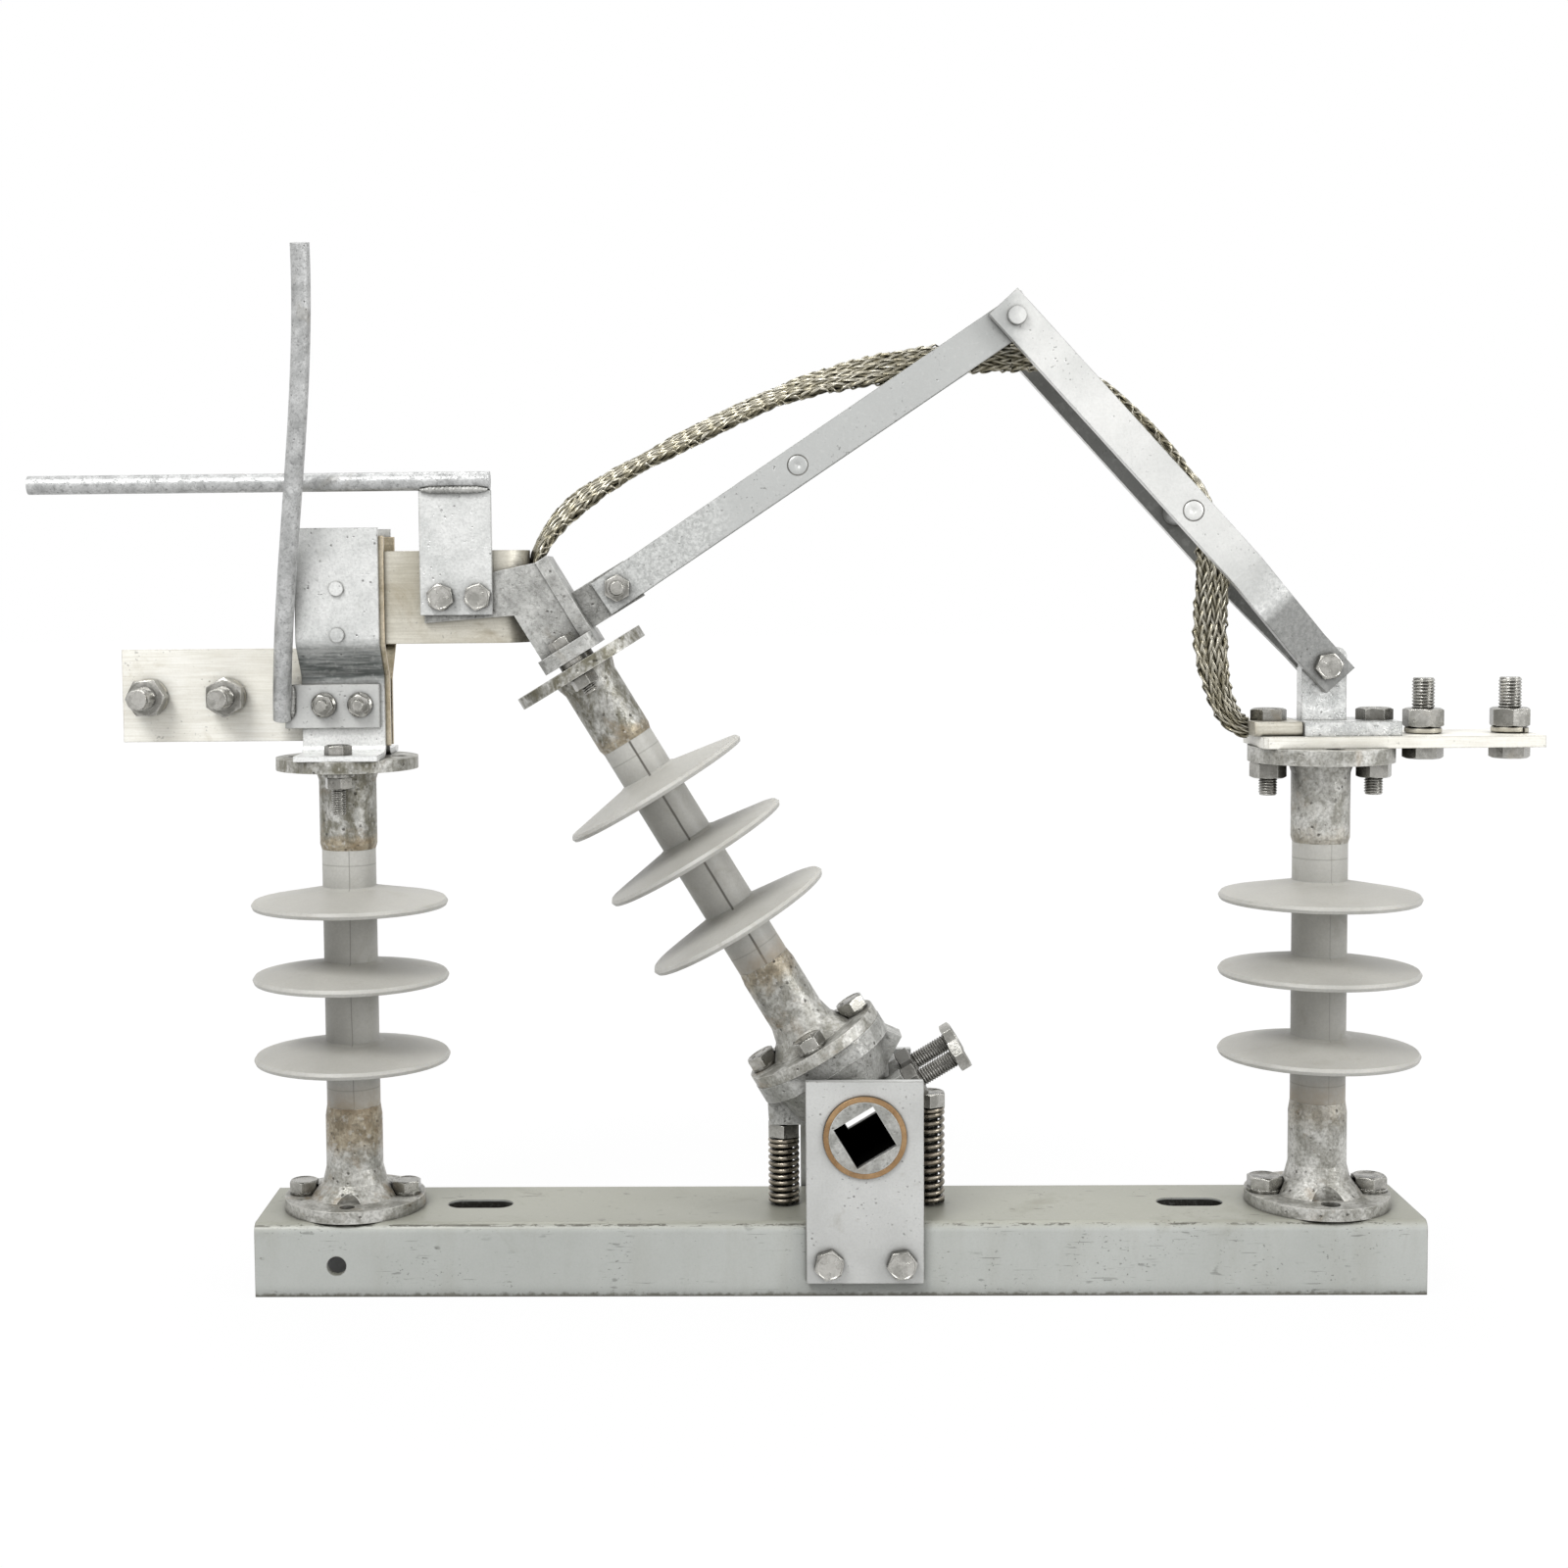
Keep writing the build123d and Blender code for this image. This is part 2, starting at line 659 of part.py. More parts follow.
# Head casting: base block, front web with the contact arm, cross rib and link lug
with BuildPart() as head_casting:
    with BuildSketch(along_lean((head_base_left + head_base_right) / 2, 0, head_base)):
        RectangleRounded(head_base_right - head_base_left, 2 * head_base_half, head_base_corner)
    extrude(amount=head_base_wall)
    with BuildSketch(facing(0, -contact_half, 0)):
        with BuildLine():
            Polyline(
                lean_point(web_left, head_floor), lean_point(web_left, head_floor + web_height),
                (contact_bolt_x - arm_reach, contact_bolt_z - arm_under),
                (contact_bolt_x - arm_reach, contact_bolt_z + arm_over),
                (contact_bolt_x + arm_corner_x, contact_bolt_z + arm_corner_z),
                lean_point(rib_left, rib_top), lean_point(rib_left, head_floor),
                lean_point(web_left, head_floor),
            )
        make_face()
    extrude(amount=web_wall)
    with BuildSketch(leaning(0)):
        with Locations(((rib_left + rib_right) / 2, (head_floor + rib_top) / 2)):
            Rectangle(rib_right - rib_left, rib_top - head_floor)
    extrude(amount=rib_half, both=True)
    with BuildSketch(leaning(0)):
        with Locations(((rib_right + lug_end) / 2, lug_pin_s)):
            Rectangle(lug_end - rib_right, lug_height)
        with Locations((lug_pin_t, lug_pin_s)):
            Circle(m8 / 2 + pin_clearance, mode=Mode.SUBTRACT)
    extrude(amount=lug_half, both=True)
    with BuildSketch(facing(0, -contact_half + 1, 0)):
        with Locations((contact_bolt_x - contact_bolt_spacing / 2, contact_bolt_z),
                       (contact_bolt_x + contact_bolt_spacing / 2, contact_bolt_z)):
            Circle(m8 / 2 + bolt_clearance)
    extrude(amount=web_wall + 2, mode=Mode.SUBTRACT)
    with BuildSketch(along_lean(0, 0, head_base - 1)):
        with Locations((0, bolt_reach), (0, -bolt_reach)):
            Circle(m8 / 2 + bolt_clearance)
    extrude(amount=head_base_wall + 2, mode=Mode.SUBTRACT)
save(head_casting.part, "head_casting")

# Head bolts, each with a thick washer that holds the head off the insulator
head_grip = head_base_wall + head_shim + flange_wall
with BuildPart() as head_bolts:
    for side in (-1, 1):
        add(bolt(along_lean(0, side * bolt_reach, head_floor),
                 m8, m8_flats, m8_head, head_grip, m8_nut, bolt_tail))
        with BuildSketch(along_lean(0, side * bolt_reach, tilt_top)):
            Circle(head_washer)
        extrude(amount=head_shim)
save(head_bolts.part, "head_bolts")

# Moving contact: one strip folded into a U, open end in the jaw
with BuildPart() as moving_contact:
    with BuildSketch(level(0, 0, contact_bottom)):
        with BuildLine():
            Line((contact_left, -contact_half), (contact_fold_x, -contact_half))
            RadiusArc((contact_fold_x, -contact_half), (contact_fold_x, contact_half), -contact_half)
            Line((contact_fold_x, contact_half), (contact_left, contact_half))
            Line((contact_left, contact_half), (contact_left, contact_half - contact_wall))
            Line((contact_left, contact_half - contact_wall), (contact_fold_x, contact_half - contact_wall))
            RadiusArc((contact_fold_x, contact_half - contact_wall),
                      (contact_fold_x, contact_wall - contact_half), contact_half - contact_wall)
            Line((contact_fold_x, contact_wall - contact_half), (contact_left, contact_wall - contact_half))
            Line((contact_left, contact_wall - contact_half), (contact_left, -contact_half))
        make_face()
    extrude(amount=contact_top - contact_bottom)
    with BuildSketch(facing(0, -contact_half + contact_wall + 1, 0)):
        with Locations((contact_bolt_x - contact_bolt_spacing / 2, contact_bolt_z),
                       (contact_bolt_x + contact_bolt_spacing / 2, contact_bolt_z)):
            Circle(m8 / 2 + bolt_clearance)
    extrude(amount=contact_wall + 2, mode=Mode.SUBTRACT)
save(moving_contact.part, "moving_contact")

# Bracket plate of the moving horn, its rod and the two bolts through plate, arm and contact
with BuildPart() as horn_bracket:
    with BuildSketch(facing(0, -web_front, 0)):
        with Locations((horn_plate_left + horn_plate_width / 2, (horn_plate_top + horn_plate_bottom) / 2)):
            Rectangle(horn_plate_width, horn_plate_height)
        with Locations((contact_bolt_x - contact_bolt_spacing / 2, contact_bolt_z),
                       (contact_bolt_x + contact_bolt_spacing / 2, contact_bolt_z)):
            Circle(m8 / 2 + bolt_clearance, mode=Mode.SUBTRACT)
    extrude(amount=bracket_plate_wall)
save(horn_bracket.part, "horn_bracket")
horn_y = -(web_front + horn_plate_front) / 2
with BuildPart() as moving_horn:
    horn_end_x = contact_bolt_x + moving_horn_end
    with BuildSketch(Plane(origin=(horn_end_x - moving_horn_length, horn_y, horn_plate_top + horn_radius),
                           x_dir=(0, 1, 0), z_dir=(1, 0, 0))):
        Circle(horn_radius)
    extrude(amount=moving_horn_length)
save(moving_horn.part, "moving_horn")
contact_grip = bracket_plate_wall + web_wall + contact_wall
contact_bolts = Compound(children=[
    bolt(facing(contact_bolt_x + side * contact_bolt_spacing / 2, -horn_plate_front, contact_bolt_z),
         m8, m8_flats, m8_head, contact_grip, m8_nut, 1.5) for side in (-1, 1)
])
save(contact_bolts, "contact_bolts")

# Pin bolt at the head lug and pin bolt at the hinge post
inner_pinch = lug_half + stop_clearance
outer_pinch = hinge_half + stop_clearance
lug_grip = 2 * (inner_pinch + bar_wall)
lug_pin = bolt(backing(lug_x, lug_grip / 2, lug_z), m8, m8_flats, m8_head, lug_grip, m8_nut, short_tail)
save(lug_pin, "lug_pin")
hinge_grip = 2 * (outer_pinch + bar_wall)
hinge_pin = bolt(facing(hinge_x, -hinge_grip / 2, hinge_z), m8, m8_flats, m8_head, hinge_grip, m8_nut,
                 short_tail)
save(hinge_pin, "hinge_pin")


def link_plane(start_x, start_z, end_x, end_z):
    # sketch x runs from start to end, sketch y is Y, extrusion goes across the bar
    run = Vector(end_x - start_x, 0, end_z - start_z)
    across = Vector(-run.Z, 0, run.X).normalized()
    return Plane(origin=(start_x, 0, start_z), x_dir=run.normalized(), z_dir=across), run.length


def link_bars(plane, length, pinch, spread, bend_end, start_hole, end_hole, rivet_at):
    # two bars, close together at the start, spread from the bend on
    with BuildPart() as made:
        for side in (-1, 1):
            with BuildSketch(plane):
                with BuildLine():
                    Polyline(
                        (-bar_end, side * pinch), (bar_straight, side * pinch),
                        (bend_end, side * spread), (length + bar_end, side * spread),
                        (length + bar_end, side * (spread + bar_wall)),
                        (bend_end, side * (spread + bar_wall)),
                        (bar_straight, side * (pinch + bar_wall)), (-bar_end, side * (pinch + bar_wall)),
                        (-bar_end, side * pinch),
                    )
                make_face()
            extrude(amount=bar_width / 2, both=True)
        side_view = Plane(origin=plane.origin, x_dir=plane.x_dir, z_dir=(0, -1, 0))
        for at, radius in ((0, start_hole), (length, end_hole), (rivet_at, spacer_rivet + press_gap)):
            with BuildSketch(side_view):
                with Locations((at, 0)):
                    Circle(radius)
            extrude(amount=2 * (spread + bar_wall), both=True, mode=Mode.SUBTRACT)
    return made.part


def spacer(x, z, spread):
    # a shouldered rivet between the two bars, flush with their outer faces
    with BuildPart() as made:
        with BuildSketch(facing(x, 0, z)):
            Circle(spacer_body)
        extrude(amount=spread, both=True)
        with BuildSketch(facing(x, 0, z)):
            Circle(spacer_rivet)
        extrude(amount=spread + bar_wall + stop_clearance, both=True)
    return made.part


# Inner link, from the head lug to the knee
inner_plane, inner_length = link_plane(lug_x, lug_z, knee_x, knee_z)
inner_link = link_bars(inner_plane, inner_length, inner_pinch, inner_bar_y, inner_bend_end,
                       m8 / 2 + pin_clearance, spacer_rivet + press_gap, inner_rivet_at)
save(inner_link, "inner_link")
inner_rivet = inner_plane.from_local_coords(Vector(inner_rivet_at, 0, 0))
inner_spacers = Compound(children=[
    spacer(inner_rivet.X, inner_rivet.Z, inner_bar_y), spacer(knee_x, knee_z, inner_bar_y),
])
save(inner_spacers, "inner_spacers")

# Outer link, from the hinge post to the knee
outer_plane, outer_length = link_plane(hinge_x, hinge_z, knee_x, knee_z)
outer_link = link_bars(outer_plane, outer_length, outer_pinch, outer_bar_y, outer_bend_end,
                       m8 / 2 + pin_clearance, knee_pin_radius + press_gap, outer_rivet_at)
save(outer_link, "outer_link")
outer_rivet = outer_plane.from_local_coords(Vector(outer_rivet_at, 0, 0))
outer_spacer = spacer(outer_rivet.X, outer_rivet.Z, outer_bar_y)
save(outer_spacer, "outer_spacer")

# Knee pins, held by the outer bars and ending just short of the inner ones
with BuildPart() as knee_pins:
    pin_start = inner_bar_y + bar_wall + knee_clearance
    for side in (-1, 1):
        with BuildSketch(facing(knee_x, side * pin_start, knee_z)):
            Circle(knee_pin_radius)
        extrude(amount=-side * (outer_bar_y + bar_wall + knee_pin_proud - pin_start))
save(knee_pins.part, "knee_pins")

# Right terminal pad
with BuildPart() as right_terminal:
    with BuildSketch(level(0, 0, thick_top)):
        with Locations((pad_left + pad_length / 2, 0)):
            Rectangle(pad_length, 2 * pad_half)
        with Locations((post_x - bolt_reach, 0), (post_x + bolt_reach, 0)):
            Circle(m10 / 2 + bolt_clearance, mode=Mode.SUBTRACT)
        with Locations((pad_stud_x - pad_stud_spacing / 2, 0), (pad_stud_x + pad_stud_spacing / 2, 0)):
            Circle(m12 / 2 + bolt_clearance, mode=Mode.SUBTRACT)
    extrude(amount=pad_wall)
    left_corners = right_terminal.edges().filter_by(Axis.Z).group_by(Axis.X)[0]
    chamfer(left_corners, pad_cut)
save(right_terminal.part, "right_terminal")
right_terminal_bolts = Compound(children=[
    washer_stud(level(pad_stud_x + side * pad_stud_spacing / 2, 0, pad_top), pad_wall) for side in (-1, 1)
])
save(right_terminal_bolts, "right_terminal_bolts")

# Hinge post on its foot plate
with BuildPart() as hinge_post:
    with BuildSketch(level(0, 0, pad_top)):
        with Locations((hinge_plate_left + hinge_plate_length / 2, 0)):
            Rectangle(hinge_plate_length, 2 * hinge_plate_half)
    extrude(amount=hinge_plate_wall)
    with BuildSketch(facing(0, 0, 0)):
        with Locations((hinge_x, (hinge_plate_top + hinge_top) / 2)):
            Rectangle(hinge_width, hinge_top - hinge_plate_top)
        with Locations((hinge_x, hinge_z)):
            Circle(m8 / 2 + pin_clearance, mode=Mode.SUBTRACT)
    extrude(amount=hinge_half, both=True)
    top_edges = hinge_post.edges().filter_by(Axis.Y).group_by(Axis.Z)[-1]
    fillet(top_edges, hinge_corner)
    with BuildSketch(level(post_x + bolt_reach, 0, pad_top - 1)):
        Circle(m10 / 2 + bolt_clearance)
    extrude(amount=hinge_plate_wall + 2, mode=Mode.SUBTRACT)
save(hinge_post.part, "hinge_post")

# Tinned lug that ends the braid
braid_lug_right = hinge_plate_left - braid_lug_gap
with BuildPart() as braid_lug:
    with BuildSketch(level(0, 0, pad_top)):
        with Locations(((braid_lug_left + braid_lug_right) / 2, 0)):
            Rectangle(braid_lug_right - braid_lug_left, 2 * braid_lug_half)
        with Locations((post_x - bolt_reach, 0)):
            Circle(m10 / 2 + bolt_clearance, mode=Mode.SUBTRACT)
    extrude(amount=braid_lug_wall)
    long_edges = braid_lug.edges().filter_by(Axis.X)
    fillet(long_edges, braid_lug_edge)
save(braid_lug.part, "braid_lug")

# Bolts through lug or foot plate, pad and insulator flange
post_grip = hinge_plate_wall + pad_wall + thick_flange_wall
post_bolts = Compound(children=[
    bolt(level(post_x + side * bolt_reach, 0, hinge_plate_top),
         m10, m10_flats, m10_head, post_grip, post_nut, post_tail) for side in (-1, 1)
])
save(post_bolts, "post_bolts")

# Left terminal strip, held upright in the jaw
with BuildPart() as left_terminal:
    with BuildSketch(facing(0, 0, 0)):
        with Locations((strip_right - strip_length / 2, strip_bottom + strip_height / 2)):
            Rectangle(strip_length, strip_height)
        with Locations((strip_stud_x - strip_stud_spacing / 2, strip_stud_z),
                       (strip_stud_x + strip_stud_spacing / 2, strip_stud_z)):
            Circle(m12 / 2 + bolt_clearance, mode=Mode.SUBTRACT)
        with Locations((clamp_bolt_x - clamp_bolt_spacing / 2, clamp_bolt_z),
                       (clamp_bolt_x + clamp_bolt_spacing / 2, clamp_bolt_z)):
            Circle(m6 / 2 + bolt_clearance, mode=Mode.SUBTRACT)
    extrude(amount=strip_half, both=True)
save(left_terminal.part, "left_terminal")
left_terminal_bolts = Compound(children=[
    washer_stud(facing(strip_stud_x + side * strip_stud_spacing / 2, -strip_half, strip_stud_z), strip_wall)
    for side in (-1, 1)
])
save(left_terminal_bolts, "left_terminal_bolts")


def level_edges(part, height):
    # the long edges of a bent plate at one height
    return part.edges().filter_by(Axis.X).filter_by(lambda edge: abs(edge.center().Z - height) < 0.01)


def clamp_holes():
    # the two clamp bolt holes, for cutting right through from front to back
    with BuildSketch(facing(0, 0, 0)) as holes:
        with Locations((clamp_bolt_x - clamp_bolt_spacing / 2, clamp_bolt_z),
                       (clamp_bolt_x + clamp_bolt_spacing / 2, clamp_bolt_z)):
            Circle(m6 / 2 + bolt_clearance)
    return holes.sketch


# Jaw: two bent steel plates on feet, each with a contact finger inside
with BuildPart() as jaw_plates:
    for side in (-1, 1):
        with BuildSketch(Plane.YZ.offset(-post_x - jaw_width / 2)):
            with BuildLine():
                Polyline(
                    (side * jaw_foot_half, insulator_height), (side * finger_low, insulator_height),
                    (side * finger_low, jaw_joggle_low - 1.0), (side * jaw_high_in, jaw_joggle_high - 1.0),
                    (side * jaw_high_in, jaw_top), (side * jaw_high, jaw_top),
                    (side * jaw_high, jaw_joggle_high), (side * jaw_low, jaw_joggle_low),
                    (side * jaw_low, insulator_height + jaw_wall),
                    (side * jaw_foot_half, insulator_height + jaw_wall),
                    (side * jaw_foot_half, insulator_height),
                )
            make_face()
        extrude(amount=jaw_width)
    levels = jaw_plates.edges().filter_by(Axis.X).group_by(Axis.Z)
    under_foot = levels[0].filter_by(lambda edge: abs(edge.center().Y) < jaw_foot_half / 2)
    over_foot = levels[1].filter_by(lambda edge: abs(edge.center().Y) < jaw_foot_half / 2)
    fillet(under_foot + levels[2] + levels[5], jaw_bend + jaw_wall)
    fillet(over_foot + level_edges(jaw_plates, jaw_joggle_low)
           + level_edges(jaw_plates, jaw_joggle_high - 1), jaw_bend)
    with BuildSketch(level(-post_x, 0, insulator_height - 1)):
        with Locations((0, -bolt_reach), (0, bolt_reach)):
            Circle(m8 / 2 + bolt_clearance)
    extrude(amount=jaw_wall + 2, mode=Mode.SUBTRACT)
    with BuildSketch(facing(-post_x, 0, 0)):
        with Locations((0, rivet_low_z), (0, rivet_high_z)):
            Circle(rivet_neck)
    extrude(amount=jaw_high + 1, both=True, mode=Mode.SUBTRACT)
    extrude(clamp_holes(), amount=jaw_high, both=True, mode=Mode.SUBTRACT)
save(jaw_plates.part, "jaw_plates")

with BuildPart() as jaw_fingers:
    for side in (-1, 1):
        with BuildSketch(Plane.YZ.offset(-post_x - jaw_width / 2)):
            with BuildLine():
                Polyline(
                    (side * strip_half, finger_bottom), (side * finger_low, finger_bottom),
                    (side * finger_low, jaw_joggle_low - 1.0), (side * jaw_high_in, jaw_joggle_high - 1.0),
                    (side * jaw_high_in, finger_top), (side * finger_high, finger_top),
                    (side * finger_high, jaw_joggle_high - 2.0), (side * strip_half, jaw_joggle_low - 2.0),
                    (side * strip_half, finger_bottom),
                )
            make_face()
        extrude(amount=jaw_width + finger_proud)
    fillet(level_edges(jaw_fingers, jaw_joggle_low - 1), jaw_bend + jaw_wall)
    fillet(level_edges(jaw_fingers, jaw_joggle_high - 1), jaw_bend)
    with BuildSketch(facing(-post_x, 0, 0)):
        with Locations((0, rivet_low_z), (0, rivet_high_z)):
            Circle(rivet_neck)
    extrude(amount=jaw_high + 1, both=True, mode=Mode.SUBTRACT)
    extrude(clamp_holes(), amount=jaw_high, both=True, mode=Mode.SUBTRACT)
save(jaw_fingers.part, "jaw_fingers")

# Rivets of the jaw, its clamp bolts and its foot bolts
with BuildPart() as jaw_rivets:
    for side in (-1, 1):
        for height in (rivet_low_z, rivet_high_z):
            with BuildSketch(facing(-post_x, side * jaw_high, height)):
                Circle(rivet_radius)
            extrude(amount=-side * rivet_head)
            with BuildSketch(facing(-post_x, side * jaw_high, height)):
                Circle(rivet_neck - press_gap)
            extrude(amount=side * (jaw_wall + finger_wall))
save(jaw_rivets.part, "jaw_rivets")
clamp_grip = clamp_face + jaw_low
with BuildPart() as jaw_bolts:
    for side in (-1, 1):
        across = clamp_bolt_x + side * clamp_bolt_spacing / 2
        add(bolt(backing(across, jaw_low + collar_wall, clamp_bolt_z), m6, m6_flats, m6_head,
                 clamp_grip + 2 * collar_wall, m6_nut, short_tail))
        for place, depth in ((backing, jaw_low), (facing, -clamp_face)):
            with BuildSketch(place(across, depth, clamp_bolt_z)):
                Circle(m6_collar)
            extrude(amount=collar_wall)
        add(bolt(level(-post_x, side * bolt_reach, insulator_height + jaw_wall), m8, m8_flats, m8_head,
                 jaw_wall + flange_wall + jaw_bolt_washer, m8_nut, jaw_bolt_tail))
        with BuildSketch(level(-post_x, side * bolt_reach, insulator_height - flange_wall)):
            Circle(jaw_bolt_washer_radius)
        extrude(amount=-jaw_bolt_washer)
jaw_bolts = jaw_bolts.part
save(jaw_bolts, "jaw_bolts")

# Clamp plate of the fixed horn, and the horn, leaning forward clear of the moving one
horn_shares = ((0.0, 0.0, 0.0), (0.236, 0.311, 0.239), (0.573, 0.566, 0.498), (1.0, 1.0, 1.0))
horn_points = [
    (-post_x - horn_foot_out + (horn_foot_out - horn_top_out) * out,
     -horn_foot_front - (horn_top_front - horn_foot_front) * front,
     clamp_bottom + horn_foot_rise + horn_height * up) for out, front, up in horn_shares
]
with BuildPart() as fixed_horn:
    with BuildLine() as horn_line:
        Spline(*horn_points)
    with BuildSketch(Plane(origin=horn_line.line @ 0, z_dir=horn_line.line % 0)):
        Circle(horn_radius)
    sweep()
save(fixed_horn.part, "fixed_horn")
with BuildPart() as horn_clamp:
    with BuildSketch(facing(0, -jaw_low, 0)):
        with Locations((clamp_left + clamp_length / 2, clamp_bottom + clamp_height / 2)):
            Rectangle(clamp_length, clamp_height)
        with Locations((clamp_bolt_x - clamp_bolt_spacing / 2, clamp_bolt_z),
                       (clamp_bolt_x + clamp_bolt_spacing / 2, clamp_bolt_z)):
            Circle(m6 / 2 + bolt_clearance, mode=Mode.SUBTRACT)
    extrude(amount=clamp_wall)
    add(fixed_horn.part, mode=Mode.SUBTRACT)
save(horn_clamp.part, "horn_clamp")


def braid_tube(points):
    # a round tube through hand-set points, with an arc at each corner
    radii = []
    for before, here, after in zip(points, points[1:], points[2:]):
        inward, outward = Vector(*here) - Vector(*before), Vector(*after) - Vector(*here)
        turn = math.radians(inward.get_angle(outward))
        radii.append(0.45 * min(inward.length, outward.length) / math.tan(turn / 2))
    with BuildPart() as made:
        with BuildLine() as path:
            FilletPolyline(*points, radius=radii)
        with BuildSketch(Plane(origin=path.line @ 0, z_dir=path.line % 0)):
            Circle(braid_radius)
        sweep()
    length = path.wires()[0].length
    print("braid radii", [round(r, 1) for r in radii], "length", round(length, 1),
          "volume ratio", round(made.part.volume / (math.pi * braid_radius ** 2 * length), 4))
    return made.part


def between(start, end, shares):
    # points given as shares of the way across and of the way up between two ends
    return [(start[0] + (end[0] - start[0]) * across, 0, start[1] + (end[1] - start[1]) * up)
            for across, up in shares]


# Flexible braid in two halves that meet under the knee
braid_t = rib_left - braid_radius - braid_gap
head_start = lean_point(braid_t, head_floor + braid_start)
head_lead = lean_point(braid_t, head_floor + braid_start + braid_lead)
under_knee = (knee_x, knee_z - braid_under_knee)
lug_end_point = (braid_lug_left + braid_inside_lug, pad_top + braid_lug_wall / 2)
braid_left_points = between(head_start, under_knee, [(0, 0)]) + between(head_lead, under_knee, [
    (0, 0), (0.0023, 0.0936), (0.0276, 0.1967), (0.0819, 0.3299), (0.1743, 0.4648), (0.2985, 0.61),
    (0.4099, 0.7251), (0.5256, 0.8359), (0.6487, 0.9192), (0.7787, 0.9742), (0.8933, 1), (1, 1),
])
braid_right_points = between(under_knee, lug_end_point, [
    (0, 0), (0.1685, 0), (0.3371, 0.0656), (0.5019, 0.1639), (0.6479, 0.2682), (0.775, 0.3775),
    (0.8227, 0.5413), (0.8022, 0.6854), (0.806, 0.7946), (0.8292, 0.8815), (0.8674, 0.956),
    (0.9326, 1), (1, 1),
])
braid_left = braid_tube(braid_left_points) - head_casting.part
save(braid_left, "braid_left")
lug_room = Box(4 * braid_radius, 4 * braid_radius, 4 * braid_radius,
               align=(Align.MIN, Align.CENTER, Align.CENTER))
braid_right = braid_tube(braid_right_points) - Pos(braid_lug_left, 0, lug_end_point[1]) * lug_room
save(braid_right, "braid_right")
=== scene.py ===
import json
import math
import random

import bpy
from mathutils import Matrix, Vector


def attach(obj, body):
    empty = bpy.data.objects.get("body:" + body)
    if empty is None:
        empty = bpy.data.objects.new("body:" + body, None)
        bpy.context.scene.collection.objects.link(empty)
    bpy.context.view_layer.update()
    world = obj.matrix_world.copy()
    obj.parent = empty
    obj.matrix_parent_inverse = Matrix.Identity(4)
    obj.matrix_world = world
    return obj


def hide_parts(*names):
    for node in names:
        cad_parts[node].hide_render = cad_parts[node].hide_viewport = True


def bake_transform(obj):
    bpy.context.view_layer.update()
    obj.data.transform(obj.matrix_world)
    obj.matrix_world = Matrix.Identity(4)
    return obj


# One pole of an outdoor disconnect switch. X runs along the channel, Y away from the viewer, Z up.
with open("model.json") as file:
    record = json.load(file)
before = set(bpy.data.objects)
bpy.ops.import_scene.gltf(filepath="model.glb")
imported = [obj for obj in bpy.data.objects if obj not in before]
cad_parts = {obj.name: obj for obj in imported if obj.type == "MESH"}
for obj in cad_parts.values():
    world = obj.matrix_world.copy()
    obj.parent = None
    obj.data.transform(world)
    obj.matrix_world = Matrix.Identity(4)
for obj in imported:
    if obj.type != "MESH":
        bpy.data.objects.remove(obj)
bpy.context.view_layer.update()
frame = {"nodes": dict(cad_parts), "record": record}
nodes = frame["nodes"]
scene = bpy.context.scene
MM = 0.001
SIDES = (-1, 1)

# The same frames, places and bolt sizes as the model's, in millimetres
PIVOT_X, PIVOT_Z = 14.6, 47.7
PIVOT = Vector((PIVOT_X, 0, PIVOT_Z))
LEAN = math.radians(31.1)
ACROSS = Vector((math.cos(LEAN), 0, math.sin(LEAN)))
ALONG = Vector((-math.sin(LEAN), 0, math.cos(LEAN)))
TILT_FOOT = PIVOT + ALONG * 45.0
LEFT, RIGHT = -265.0, 265.0
HOLE = 28.5
CHANNEL_HALF = (314.0, 37.5)
FLOOR_Z = -40.2
INNER_RIVET = (-18.25, 404.74)
KNEE_RIVET = (96.8, 481.19)
OUTER_RIVET = (189.79, 378.26)
BRAID_KNEE = (KNEE_RIVET[0], 0, 463.0)
BUFFERS = ((PIVOT_X - 42.0, 38.3), (PIVOT_X + 38.0, 54.8))
SPRING_WASHER = 3.4
M6 = dict(d=6.4, flats=10.5, head=4.2, nut=5.5, pitch=1.0)
M8 = dict(d=8.0, flats=13.0, head=5.3, nut=6.5, pitch=1.25)
M10 = dict(d=10.0, flats=17.0, head=6.4, nut=8.0, pitch=1.5)
M12 = dict(d=12.0, flats=19.0, head=7.5, nut=10.2, pitch=1.75)


def place(origin, x_dir, z_dir):
    z = Vector(z_dir).normalized()
    x = Vector(x_dir).normalized()
    rot = Matrix((x, z.cross(x), z)).transposed().to_4x4()
    return Matrix.Translation(Vector(origin)) @ rot


# Places with Z to the viewer, away from the viewer and up
def facing(x, y, z):
    return place((x, y, z), (1, 0, 0), (0, -1, 0))


def backing(x, y, z):
    return place((x, y, z), (-1, 0, 0), (0, 1, 0))


def level(x, y, z):
    return place((x, y, z), (1, 0, 0), (0, 0, 1))


# Places on the tilting post: t across it, y away from the viewer and s up along it
def on_post(t, y, s):
    return PIVOT + ACROSS * t + ALONG * s + Vector((0, y, 0))


def along_lean(t, y, s):
    return place(on_post(t, y, s), ACROSS, ALONG)


def across_lean(t, y, s):
    return place(on_post(t, y, s), (0, 1, 0), ACROSS)


# Shader graphs. Places and depths in them are in metres, in the model's frame.

